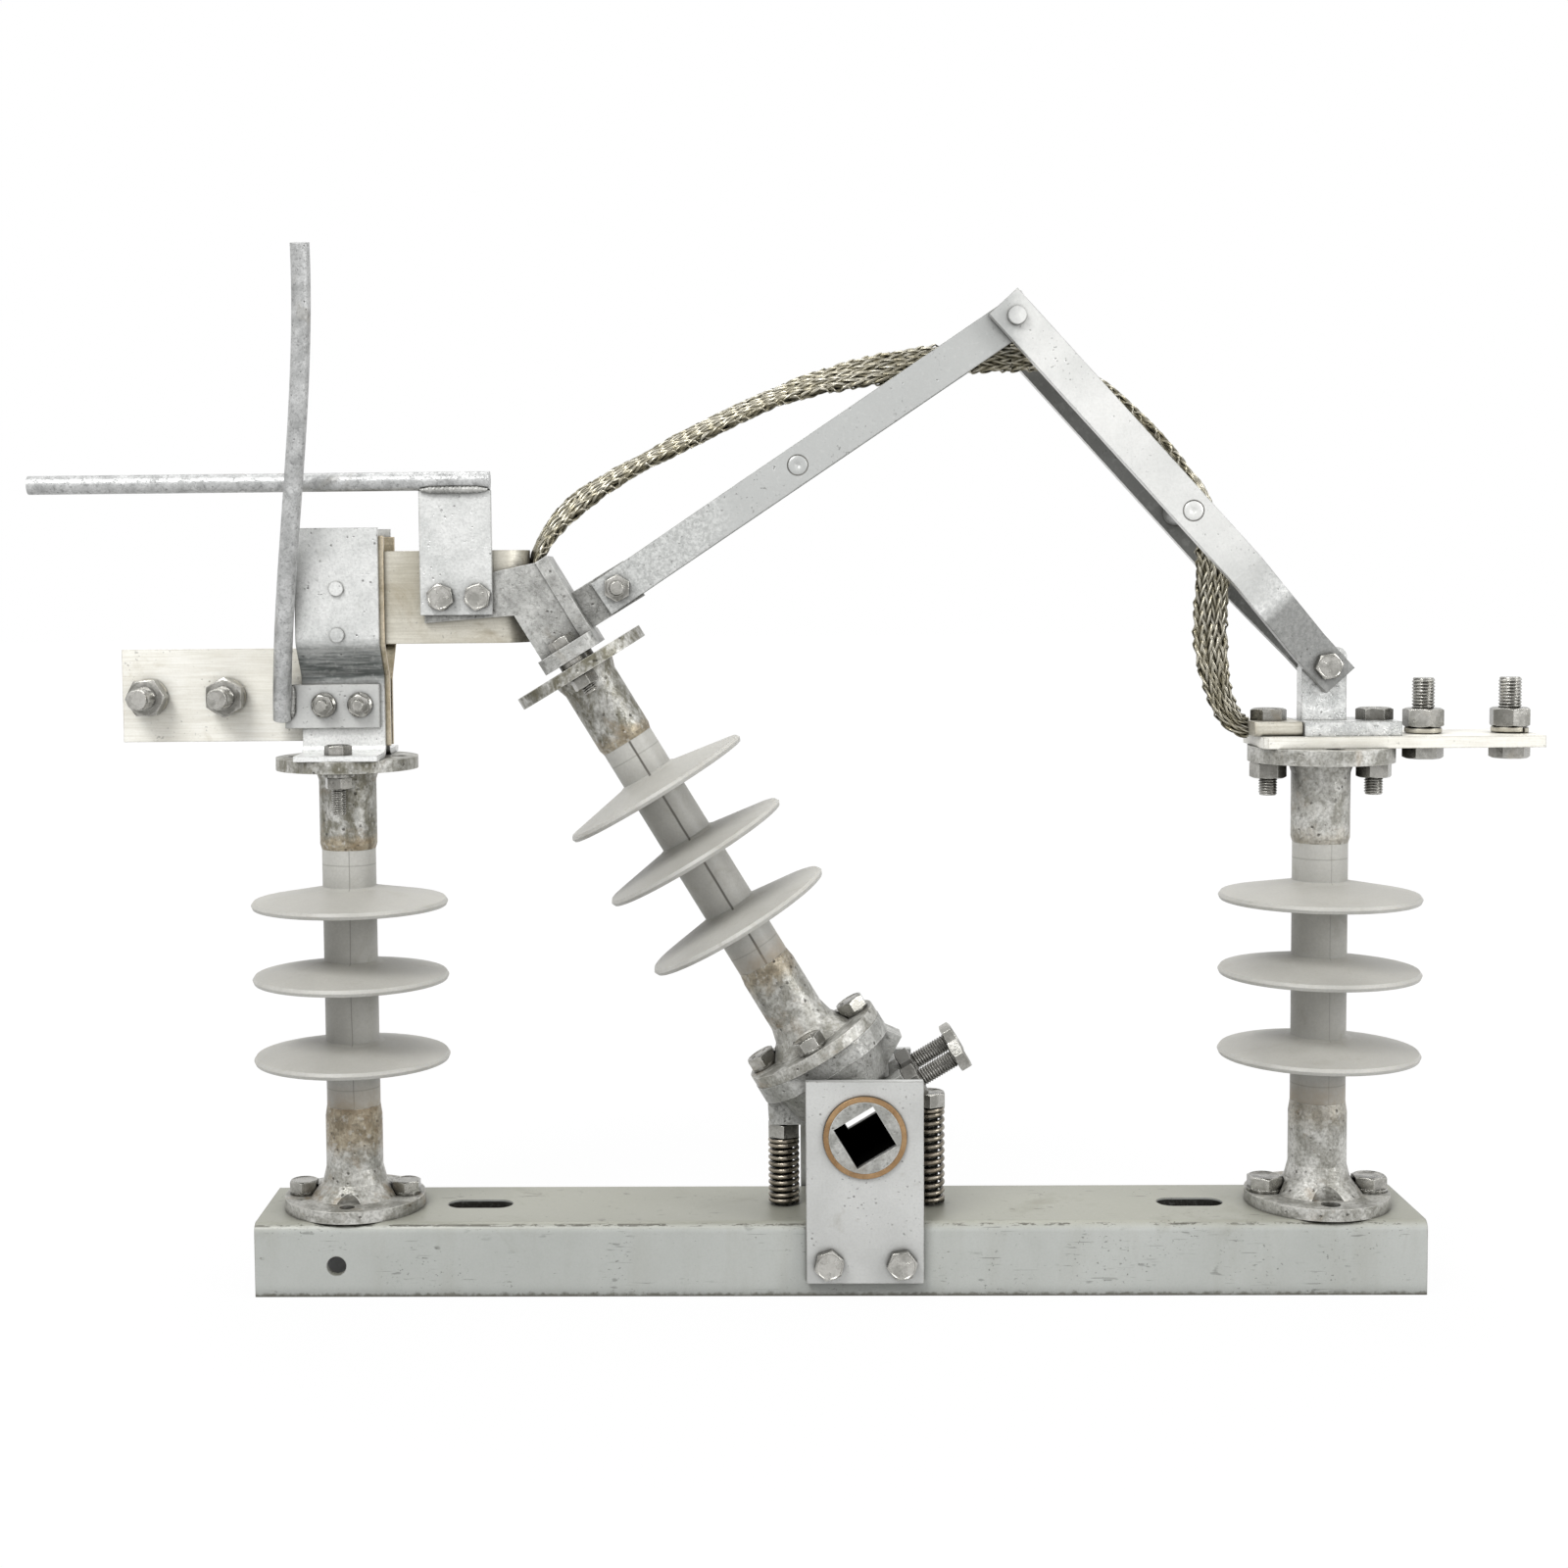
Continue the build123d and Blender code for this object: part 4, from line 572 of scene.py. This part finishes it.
def circle(radius, z, count):
    return [(radius * math.cos(a), radius * math.sin(a), z)
            for a in (2 * math.pi * j / count for j in range(count))]


def oblong(x, y, z):
    return [(-x, -y, z), (x, -y, z), (x, y, z), (-x, y, z)]


def tube_faces(count, around):
    faces = []
    for k in range(count):
        for j in range(around):
            n = (j + 1) % around
            a, b = k * around, (k + 1) * around
            faces.append((a + j, b + j, b + n, a + n))
    faces.append(tuple(range(around)))
    faces.append(tuple(range(count * around + around - 1, count * around - 1, -1)))
    return faces


class Stock:
    """Collects turned and hexagonal pieces into one mesh, in metres."""
    def __init__(self):
        self.verts, self.faces = [], []

    def rings(self, matrix, rings, capped=True):
        first, count = len(self.verts), len(rings[0])
        for ring in rings:
            self.verts += [(matrix @ Vector(p)) * MM for p in ring]
        for k in range(len(rings) - 1):
            a, b = first + k * count, first + (k + 1) * count
            for j in range(count):
                n = (j + 1) % count
                self.faces.append((a + j, a + n, b + n, b + j))
        if capped:
            last = first + (len(rings) - 1) * count
            self.faces.append(tuple(range(first + count - 1, first - 1, -1)))
            self.faces.append(tuple(range(last, last + count)))

    def turned(self, matrix, profile, count=32):
        self.rings(matrix, [circle(radius, z, count) for radius, z in profile])

    def washer(self, matrix, inner, outer, thick):
        self.turned(matrix, [(inner, 0), (outer, 0), (outer, thick), (inner, thick)])

    def hexagon(self, matrix, flats, low, high, chamfer_low=True, turn=0.0, dish=0.0):
        # corners at 0, 60 ... degrees from the local x axis, flats facing local y
        apothem, count = flats / 2, 48
        outline = []
        for j in range(count):
            a = 2 * math.pi * j / count
            off = (a + math.pi / 6) % (math.pi / 3) - math.pi / 6
            outline.append((a + math.pi / 6 + turn, apothem / math.cos(off)))

        def cut_ring(z, slope):
            return [(r * math.cos(a), r * math.sin(a), z + slope * max(0.0, r - apothem * 0.955) * 0.5)
                    for a, r in outline]

        def round_ring(z, share):
            return [(apothem * share * math.cos(a), apothem * share * math.sin(a), z) for a, r in outline]

        rings = []
        if chamfer_low:
            rings += [round_ring(low, 0.6), round_ring(low, 0.95)]
        rings += [cut_ring(low, 1 if chamfer_low else 0), cut_ring(high, -1)]
        rings += [round_ring(high, 0.95), round_ring(high - dish, 0.88 if dish else 0.6)]
        self.rings(matrix, rings)

    def thread(self, matrix, diameter, low, high, pitch, count=20):
        # a screw thread that tapers away at its far end
        root, crest = diameter / 2 - pitch * 0.5, diameter / 2
        total, levels_per_turn = high - low, 5
        levels = max(2, int(total / pitch * levels_per_turn))
        rings = []
        for k in range(levels + 1):
            z = low + total * k / levels
            limit = root + (crest - root) * min(1.0, (high - z) / (pitch * 0.8)) * 0.95 + 0.05
            ring = []
            for j in range(count):
                share = (z / pitch - j / count) % 1.0
                wave = 1 - abs(2 * share - 1)
                r = min(root + (crest - root) * min(1.0, wave * 1.25), limit)
                a = 2 * math.pi * j / count
                ring.append((r * math.cos(a), r * math.sin(a), z))
            rings.append(ring)
        self.rings(matrix, rings)

    def bolt(self, seat, kind, grip, tail=4.0, nut=True, washer=0.0, turn=0.0, marks=0, flange=False):
        # head above the seat, nut below the grip, threads on what shows
        d, flats = kind["d"], kind["flats"]
        self.hexagon(seat, flats, washer, kind["head"], False, turn, dish=0.4)
        if washer:
            self.washer(seat, d * 0.3, d * 0.98, washer)
        for k in range(marks):
            a, out = turn + 2 * math.pi * k / 3 + 0.3, 0.55 * flats / 2
            point = seat @ Matrix.Translation((out * math.cos(a), out * math.sin(a), kind["head"] - 0.4))
            self.rings(point @ Matrix.Rotation(a, 4, "Z"), [oblong(1.2, 0.22, 0), oblong(1.1, 0.15, 0.25)])
        self.turned(seat, [(d * 0.49, -grip), (d * 0.49, 0.1)], 24)
        end = grip + (kind["nut"] if nut else 0) + tail
        flip = behind(seat)
        if tail > 0.6:
            self.thread(flip, d, grip, end, kind["pitch"])
        if nut:
            self.hexagon(flip, flats, grip, grip + kind["nut"], turn=turn + 0.2)
        if flange:
            self.turned(flip, [(3.5, grip), (flats * 0.66, grip), (flats * 0.64, grip + 1.2),
                               (flats * 0.5, grip + 2.4), (3.5, grip + 2.4)])

    def stud(self, seat, grip):
        # an M12 nut over the spring washer, threads beyond, head behind
        flats, low = M12["flats"], SPRING_WASHER
        self.hexagon(seat, flats, low, low + M12["nut"], turn=random.uniform(0, 1))
        self.thread(seat, M12["d"], 1.0, 30.0, M12["pitch"], count=28)
        self.turned(seat, [(5.9, -grip), (5.9, 1.0)], 28)
        self.hexagon(behind(seat), flats, grip, grip + M12["head"], False, 0.1, dish=0.4)

    def spring_washer(self, seat, cut):
        # a split ring, one end standing a little over the other
        inner, outer, wall, edge = 6.3, 9.8, SPRING_WASHER, 0.4
        count, rings = 44, []
        for k in range(count + 1):
            share = k / count
            a = cut + 0.09 + (2 * math.pi - 0.18) * share
            rise = 0.5 * (share - 0.5)
            rings.append([(radius * math.cos(a), radius * math.sin(a), z + rise)
                          for radius, z in ((inner, 0.3), (outer - edge, 0.3), (outer, 0.7),
                                            (outer, wall - 0.7), (outer - edge, wall - 0.3),
                                            (inner, wall - 0.3))])
        self.rings(seat, rings)

    def make(self, name, material, body, *cad):
        obj = piece(name, self.verts, self.faces, material, body)
        if cad:
            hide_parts(*cad)


random.seed(7)

# Bolts and studs. A bolt's seat is the face under its head or washer, and its grip is what it holds.
kit = Stock()
bracket_face, bolt_z = 42.5, -20.8
for seat, y in ((facing, -bracket_face), (backing, bracket_face)):
    for side in SIDES:
        kit.bolt(seat(PIVOT_X + side * 19.4, y, bolt_z), dict(M8, flats=14.5), 10.0, marks=3,
                 turn=random.uniform(0, 1))
kit.make("bracket_bolts_look", "zinc_bolts", "base", "bracket_bolts")

kit = Stock()
foot_top = 6.6
feet = ((LEFT, dict(M8, flats=14.5, head=7.6), 1.6), (RIGHT, dict(M10, head=8.4), 1.8))
for side in SIDES:
    for post, kind, washer in feet:
        kit.bolt(level(post + side * HOLE, 0, foot_top), kind, 11.6, washer=washer, turn=math.pi / 6)
kit.make("foot_bolts_look", "zinc_bolts", "base", "foot_bolts")

kit = Stock()
for x, top in BUFFERS:
    kit.bolt(level(x, 0, top), dict(M10, flats=16.6, head=7.6), top + 5.0, turn=0.5)
kit.make("spring_bolts_look", "zinc_bolts", "base", "spring_bolts")

kit = Stock()
tilt_foot_top = 51.6
for t, y, turn in ((HOLE, 0, math.pi / 6), (-HOLE, 0, math.pi / 6), (0, HOLE, 0.0), (0, -HOLE, 0.0)):
    kit.bolt(along_lean(t, y, tilt_foot_top), dict(M8, flats=15.0, head=8.0), 16.1, tail=0.5, nut=False,
             marks=3, washer=1.6, turn=turn)
kit.make("tilt_foot_bolts_look", "zinc_bolts", "tilting_post", "tilt_foot_bolts")

kit = Stock()
head_top, washer_low = 305.7, 294.7
for side in SIDES:
    kit.bolt(along_lean(0, side * HOLE, head_top), M8, 17.6, marks=3)
    kit.washer(along_lean(0, side * HOLE, washer_low), 4.2, 8, 3.0)
kit.make("head_bolts_look", "zinc_bolts", "tilting_post", "head_bolts")

kit = Stock()
contact_x, contact_face, bolt_z = -199.0, -25.8, 336.3
for side in SIDES:
    kit.bolt(facing(contact_x + side * 9.9, contact_face, bolt_z), M8, 10.8, tail=1.5, marks=3,
             turn=0.35 * side)
kit.make("contact_bolts_look", "zinc_bolts", "tilting_post", "contact_bolts")

kit = Stock()
lug_x, lug_face, lug_z = -115.372, 12.3, 340.208
kit.bolt(backing(lug_x, lug_face, lug_z), M8, 24.6, tail=3.0, turn=0.3)
kit.make("lug_pin_look", "zinc_bolts", "tilting_post", "lug_pin")

kit = Stock()
hinge_face, hinge_z = -11.3, 295.0
kit.bolt(facing(RIGHT, hinge_face, hinge_z), M8, 22.6, tail=3.0, turn=0.15, marks=3)
kit.make("hinge_pin_look", "zinc_bolts", "base", "hinge_pin")

kit = Stock()
hinge_foot_top = 265.5
for side in SIDES:
    kit.bolt(level(RIGHT + side * HOLE, 0, hinge_foot_top), dict(M10, nut=9.0), 22.4, tail=9.3,
             turn=0.4 + 0.4 * side, marks=3)
kit.make("post_bolts_look", "zinc_bolts", "base", "post_bolts")

left_x, left_face, left_z = -350.2, -3.0, 283.2
right_x, right_top = 343.0, 257.8
left_seats = [facing(left_x + side * 21.4, left_face, left_z) for side in SIDES]
right_seats = [level(right_x + side * 23.25, 0, right_top) for side in SIDES]
kit = Stock()
for seat in right_seats:
    kit.stud(seat, 6.2)
kit.make("right_studs_look", "zinc_bolts", "base", "right_terminal_bolts")
kit = Stock()
for side, left_seat, right_seat in zip(SIDES, left_seats, right_seats):
    kit.spring_washer(right_seat, 4.2 + side)
    kit.spring_washer(left_seat, 1.2 + side)
kit.make("spring_washers_look", "tinned_copper", "base")
kit = Stock()
for seat in left_seats:
    kit.stud(seat, 6.0)
kit.make("left_studs_look", "zinc_bolts", "base", "left_terminal_bolts")

kit = Stock()
jaw_face, jaw_bolt_z, jaw_foot_top, grip = 9.0, 278.6, 252.7, 11.6
for side in SIDES:
    x = LEFT + side * 9.8
    kit.bolt(backing(x, jaw_face + 1.2, jaw_bolt_z), M6, 24.4, tail=3.0, flange=True, turn=0.4 * side)
    kit.turned(backing(x, jaw_face, jaw_bolt_z), [(3.2, 0), (7, 0), (6.6, 1.2), (3.2, 1.2)])
    kit.bolt(level(LEFT, side * HOLE, jaw_foot_top), M8, grip, tail=14.0, marks=3)
    kit.washer(level(LEFT, side * HOLE, jaw_foot_top - grip), 4.2, 8.5, 2.0)
kit.make("jaw_bolts_look", "zinc_bolts", "base", "jaw_bolts")

kit, heads = Stock(), Stock()
stop_flats = 16.6
for side in SIDES:
    seat = across_lean(62.0, side * 20.0, 6.5)
    heads.hexagon(seat, stop_flats, 0, M10["head"], turn=0.25 * side, dish=0.4)
    kit.thread(behind(seat), 9.6, 0, 49.0, M10["pitch"], count=28)
    kit.hexagon(behind(seat), stop_flats, 21.0, 21.0 + M10["nut"], turn=0.5)
kit.make("stop_bolts_look", "black_bolts", "tilting_post", "stop_bolts")
heads.make("stop_heads_look", "zinc_bolts", "tilting_post")


# Rivets: dished ends, each in a thin dark ring of painted shade
rivet_shade = {"inner_arm": Stock(), "outer_arm": Stock()}


def rivet(kit, body, spot, spread):
    # the spread is half the gap between the bars that the rivet joins
    x, z = spot
    reach, face = spread + 6.3, spread + 6.0
    kit.turned(facing(x, 0, z), [(4.5, -reach), (5.3, 0.5 - reach), (5.3, -spread), (6.6, -spread),
                                 (6.6, spread), (5.3, spread), (5.3, reach - 0.5), (4.5, reach),
                                 (1.4, reach - 0.25), (0.9, reach - 0.6)])
    for seat in (facing(x, -face, z), backing(x, face, z)):
        # painted shade: a thin dark ring round each rivet end, where a groove's shade would be
        rivet_shade[body].rings(seat, [circle(5.2, 0.05, 40), circle(5.75, 0.05, 40)], capped=False)


kit = Stock()
rivet(kit, "inner_arm", INNER_RIVET, 13.0)
rivet(kit, "inner_arm", KNEE_RIVET, 13.0)
kit.make("inner_rivets_look", "link_steel", "inner_arm", "inner_spacers")
kit = Stock()
rivet(kit, "outer_arm", OUTER_RIVET, 21.0)
kit.make("outer_rivet_look", "link_steel", "outer_arm", "outer_spacer")
for body, kit in rivet_shade.items():
    kit.make(body + "_rivet_shade_look", "black_bolts", body)


def coil(name, x, top, turns):
    # a buffer spring: closed end coils, open coils between
    wire, mean, steps, around = 1.3, 7.3, 28, 10
    closed, lay = 1.1, 2 * wire * 1.02
    high = top - 2 * wire
    count = int(turns * steps)
    path, verts = [], []
    for k in range(count + 1):
        turn = k / count * turns
        if turn < closed:
            z = turn / closed * lay
        elif turn > turns - closed:
            z = high - (turns - turn) / closed * lay
        else:
            z = lay + (turn - closed) / (turns - 2 * closed) * (high - 2 * lay)
        a = 2 * math.pi * turn
        path.append(Vector((x + mean * math.cos(a), mean * math.sin(a), z + wire)))
    for k, p in enumerate(path):
        ahead = (path[min(k + 1, count)] - path[max(k - 1, 0)]).normalized()
        out = Vector((p.x - x, p.y, 0)).normalized()
        side = ahead.cross(out).normalized()
        out = side.cross(ahead)
        for j in range(around):
            b = 2 * math.pi * j / around
            verts.append((p + out * wire * math.cos(b) + side * wire * math.sin(b)) * MM)
    return piece(name, verts, tube_faces(count, around), "spring_steel", "base")


spring = coil("left_spring_look", *BUFFERS[0], 11.0)
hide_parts("buffer_springs")
coil("right_spring_look", *BUFFERS[1], 13.0)


def bead(name, start, end, radius, body, count):
    # a weld bead where a horn joins its plate
    start, end = Vector(start), Vector(end)
    run = (end - start).normalized()
    side = run.cross(Vector((0, 1, 0.2))).normalized()
    up = run.cross(side)
    around, verts = 10, []
    for k in range(count + 1):
        share = k / count
        r = radius * (0.82 + 0.18 * abs(math.sin(k * math.pi / 3)) + random.uniform(-0.05, 0.05))
        r *= min(1.0, 0.35 + 4 * min(share, 1 - share))
        p = start.lerp(end, share) + up * random.uniform(-0.05, 0.05)
        for j in range(around):
            a = 2 * math.pi * j / around
            verts.append((p + side * r * math.cos(a) + up * r * math.sin(a)) * MM)
    piece(name, verts, tube_faces(count, around), "galvanised_casting", body, sharp=60)


bead("horn_weld_front", (-219.0, -27.6, 393.3), (-183.0, -27.6, 393.3), 2.0, "tilting_post", 48)
bead("horn_weld_back", (-219.0, -20.4, 393.3), (-183.0, -20.4, 393.3), 2.0, "tilting_post", 48)
bead("clamp_weld_front", (-292.2, -14.0, 272.0), (-291.6, -14.6, 289.0), 2.0, "base", 30)
bead("clamp_weld_back", (-293.4, -9.2, 272.0), (-292.6, -9.6, 289.0), 1.8, "base", 30)


# The flexible braid: flat, woven from strands that cross over and under
BRAID_THICK, STRANDS, LAY = 5.6, 18, 132.0
EDGE = BRAID_THICK / 2 - 0.75


def route(points):
    data = bpy.data.curves.new("route", "CURVE")
    data.dimensions = "3D"
    spline = data.splines.new("NURBS")
    spline.points.add(len(points) - 1)
    for knot, point in zip(spline.points, points):
        knot.co = (*point, 1)
    spline.order_u = 3
    spline.use_endpoint_u = True
    data.resolution_u = 20
    holder = bpy.data.objects.new("route", data)
    mesh = bpy.data.meshes.new_from_object(holder)
    line = [v.co.copy() for v in mesh.vertices]
    bpy.data.meshes.remove(mesh)
    bpy.data.objects.remove(holder)
    bpy.data.curves.remove(data)
    return line


def eased(pairs, where):
    for (start, first), (end, last) in zip(pairs, pairs[1:]):
        if where <= end:
            share = max(0.0, (where - start) / (end - start))
            return first + (last - first) * share * share * (3 - 2 * share)
    return pairs[-1][1]


def stations_along(line, turns, widths):
    # each even step has its distance, point, way ahead, ways of the width and the thickness, and width
    lengths = [0.0]
    for a, b in zip(line, line[1:]):
        lengths.append(lengths[-1] + (b - a).length)
    total = lengths[-1]
    count = int(total / 1.25)
    stations, low = [], 0
    for k in range(count + 1):
        distance = total * k / count
        while low < len(lengths) - 2 and lengths[low + 1] < distance:
            low += 1
        share = (distance - lengths[low]) / max(1e-9, lengths[low + 1] - lengths[low])
        point = line[low].lerp(line[low + 1], share)
        ahead = (line[min(low + 2, len(line) - 1)] - line[max(low - 1, 0)]).normalized()
        angle = eased(turns, k / count)
        depth = Vector((0, 1, 0))
        wide = ahead.cross(depth).normalized() * math.cos(angle) + depth * math.sin(angle)
        out = wide.cross(ahead).normalized()
        stations.append((distance, point, ahead, wide, out, eased(widths, k / count)))
    return stations, total


def strand(stations, way, n, verts, uvs):
    # one strand winds round the braid, over one crossing strand and under the next
    section = ((-1, -0.62), (-0.6, 0.10), (0, 0.42), (0.6, 0.10), (1, -0.62))
    drift = random.uniform(-0.32, 0.32)
    ripple = random.uniform(0, 6.28)
    full = random.uniform(0.84, 1.04)
    for distance, point, ahead, wide, out, width in stations:
        stray = 0.26 * math.sin(distance / 11 + ripple) + drift
        run = ((n + stray) / STRANDS + way * distance / LAY) % 1.0 * 4
        u, side = (run - 1, 1.0) if run < 2 else (3 - run, -1.0)
        lift = way * math.cos(math.pi * n + way * math.pi * distance * STRANDS / LAY - math.pi / 4)
        lift *= 0.85 + 0.15 * math.sin(distance / 5 + 2 * ripple)
        round_off = math.sqrt(max(0.0, 1 - abs(u) ** 4))
        centre = (point + wide * (u * (width / 2 - 0.9 + 0.55 * lift))
                  + out * (side * (EDGE * (0.12 + 0.88 * round_off) + 0.62 * lift)))
        slope = (wide * (way * side * 2 * width / LAY) + ahead).normalized()
        skew = out * (side * round_off) + wide * (u * (1 - round_off))
        skew = (skew - slope * skew.dot(slope)).normalized()
        flat = slope.cross(skew).normalized()
        half = width * 2 / STRANDS * 0.47 * full
        for w, h in section:
            verts.append((centre + flat * half * w + skew * (h + 0.1)) * MM)
            uvs.append((0.5 + 0.5 * lift, (w + 1) / 2))


def braid(name, points, turns, widths):
    # turns and widths: (share of the length, value) pairs; angle 0 shows the flat side to the viewer
    line = route(points)
    stations, total = stations_along(line, turns, widths)
    verts, faces, uvs = [], [], []
    for way in (1, -1):
        for n in range(STRANDS):
            first = len(verts)
            strand(stations, way, n, verts, uvs)
            for a in range(first, len(verts) - 5, 5):
                faces += [(a + j, a + j + 1, a + j + 6, a + j + 5) for j in range(4)]
    # a core in painted shade fills the inside
    first = len(verts)
    for distance, point, ahead, wide, out, width in stations[::3]:
        for across, up in ((-1, 0), (-0.8, 0.8), (0.8, 0.8), (1, 0), (0.8, -0.8), (-0.8, -0.8)):
            verts.append((point + wide * across * (width / 2 - 2.6) + out * up * (EDGE - 0.9)) * MM)
            uvs.append((0, 0))
    for a in range(first, len(verts) - 6, 6):
        b = a + 6
        faces += [(a + j, a + (j + 1) % 6, b + (j + 1) % 6, b + j) for j in range(6)]
    obj = piece(name, verts, faces, "braid_wire", None, sharp=None, uvs=uvs)
    return obj, [tuple(p * MM) for p in line], total * MM


left_points = [(-153.8, 0, 336.2), (-160.1, 0, 346.6), (-159.5, 0, 357.5), (-153.0, 0, 369.5),
               (-139.1, 0, 385.0), (-115.3, 0, 400.7), (-83.4, 0, 417.0), (-54.8, 0, 431.0),
               (-25.1, 0, 444.2), (6.5, 0, 453.0), (39.9, 0, 458.6), (69.4, 0, 462.4), BRAID_KNEE]
right_points = [BRAID_KNEE, (119.4, 0, 463.0), (142.0, 0, 449.8), (164.2, 0, 430.0),
                (183.7, 0, 409.0), (200.8, 0, 387.0), (207.2, 0, 354.0), (204.5, 0, 325.0),
                (205.0, 0, 303.0), (208.1, 0, 285.5), (213.2, 0, 270.5), (221.0, 0, 261.9),
                (225.4, 0, 261.65)]
left_braid, left_line, left_length = braid(
    "braid_left_look", left_points,
    ((0.0, 1.35), (0.08, 1.26), (0.19, 0.98), (0.26, 1.1), (0.33, 1.24), (0.40, 1.10), (0.58, 1.10),
     (0.65, 0.93), (0.715, 0.70), (0.78, 0.54), (1.0, 0.40)),
    ((0.0, 19.0), (0.1, 20.0), (1.0, 20.0)))
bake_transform(left_braid)
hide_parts("braid_left")
right_braid, right_line, right_length = braid(
    "braid_right_look", right_points,
    ((0.0, 0.40), (0.08, 0.6), (0.22, math.pi / 2), (0.40, math.pi / 2), (0.50, 1.1), (0.62, 0.15),
     (0.93, 0.1), (1.0, 0.5)),
    ((0.0, 20.0), (0.80, 20.0), (0.92, 15.0), (1.0, 13.0)))
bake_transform(right_braid)
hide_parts("braid_right")

# Finishes for the model's own pieces, where they differ from the slot's
finishes = {"hinge_post": "hinge_steel", "rocker": "galvanised_rocker", "knee_pins": "link_steel",
            "left_terminal": "tinned_bar", "right_terminal": "tinned_bar", "horn_bracket": "jaw_steel"}
for post in ("left", "right", "tilt"):
    finishes[post + "_housing"] = "polymer_" + post
    finishes[post + "_lower_fitting"] = finishes[post + "_upper_fitting"] = "cast_" + post
for part in frame["record"]["subparts"]:
    mesh = nodes[part["node"]].data
    mesh.materials.clear()
    mesh.materials.append(surfaces[finishes.get(part["node"], part["material_slot"])])
    mesh.shade_smooth()
    mesh.set_sharp_from_angle(angle=math.radians(32))


# World, floor, light and camera

def studio():
    # bright above, dark near the horizon and behind, for contrast in the metal; seen itself it's white
    world = bpy.data.worlds.new("studio")
    scene.world = world
    g = Nodes(world, "ShaderNodeOutputWorld", "Generated")
    up = g.axis("Z")
    bands = g.add("ShaderNodeValToRGB", {0: g.ramp(up, -1, 1)})
    stops = bands.color_ramp.elements
    stops[0].color = (0.55, 0.55, 0.55, 1)
    for where, tone in ((0.46, 0.50), (0.50, 0.26), (0.60, 0.50), (0.72, 1.0)):
        stops.new(where).color = (tone, tone, tone * 1.01, 1)
    rear = g.times(g.ramp(g.axis("Y"), -0.1, 0.7, 0.0, 0.75), g.fade(up, 0.25, 0.65))
    dome = g.mix(rear, bands.outputs[0], (0.03, 0.03, 0.03))
    g.show(g.seen(), ("ShaderNodeBackground", dome, 0.62), ("ShaderNodeBackground", (1, 1, 1), 1.0))


def floor_plane():
    # grey for scattered light; seen itself it's white, a little darker near the object and grey under it
    mat = bpy.data.materials.new("floor")
    g = Nodes(mat, "ShaderNodeOutputMaterial")
    away = g.add("ShaderNodeVectorMath", {0: g.coords}, operation="LENGTH").outputs["Value"]
    beside = [g.maths("GREATER_THAN", g.size(g.axis(axis)), (half - 0.5) * MM)
              for axis, half in zip("XY", CHANNEL_HALF)]
    share = g.times(g.times(g.ramp(away, 0.30, 0.62, 0.95, 1.0), g.seen()), g.most(*beside))
    g.show(share, ("ShaderNodeBsdfDiffuse", (0.5, 0.5, 0.5)), ("ShaderNodeEmission", (1, 1, 1), 1.02))
    mesh = bpy.data.meshes.new("floor")
    half = 12
    mesh.from_pydata(oblong(half, half, FLOOR_Z * MM), [], [(0, 1, 2, 3)])
    mesh.materials.append(mat)
    return stand("floor", mesh)


def lamp(name, where, size, power):
    data = bpy.data.lights.new(name, "AREA")
    data.shape = "RECTANGLE"
    data.size, data.size_y = size
    data.energy = power
    obj = stand(name, data)
    obj.location = where
    middle = Vector((0, 0, 0.2))
    aim = middle - Vector(where)
    obj.rotation_euler = aim.to_track_quat("-Z", "Y").to_euler()
    return obj


def photo_camera():
    # the photo's own view: width, focal length and optical centre in its pixels
    width, focal, centre_x, centre_y = 1600, 2239.5, 684.0, 734.6
    camera = bpy.data.cameras.new("camera")
    camera.sensor_width = 36
    camera.lens = focal * camera.sensor_width / width
    camera.shift_x = (width / 2 - centre_x) / width
    camera.shift_y = (centre_y - width / 2) / width
    camera.clip_start, camera.clip_end = 0.05, 60
    spot = Vector((-0.05993, -1.19417, 0.34782))
    yaw, pitch, roll = -0.0233, 0.0666, -0.0096
    ahead = Vector((math.sin(yaw) * math.cos(pitch), math.cos(yaw) * math.cos(pitch), -math.sin(pitch)))
    right = ahead.cross(Vector((0, 0, 1))).normalized()
    up = right.cross(ahead)
    rolled_right = right * math.cos(roll) + up * math.sin(roll)
    rolled_up = up * math.cos(roll) - right * math.sin(roll)
    turn = Matrix((rolled_right, rolled_up, -ahead)).transposed().to_4x4()
    eye = stand("camera", camera)
    eye.matrix_world = Matrix.Translation(spot) @ turn
    scene.camera = eye
    return eye


studio()
lamps = (lamp("key", (-0.9, -1.3, 1.7), (0.9, 0.7), 29),
         lamp("fill", (1.5, -0.9, 0.9), (0.6, 1.0), 14),
         lamp("top", (0.1, 0.5, 1.9), (1.6, 0.8), 11))
floor_plane()
photo_camera()
scene.view_settings.view_transform = "Standard"
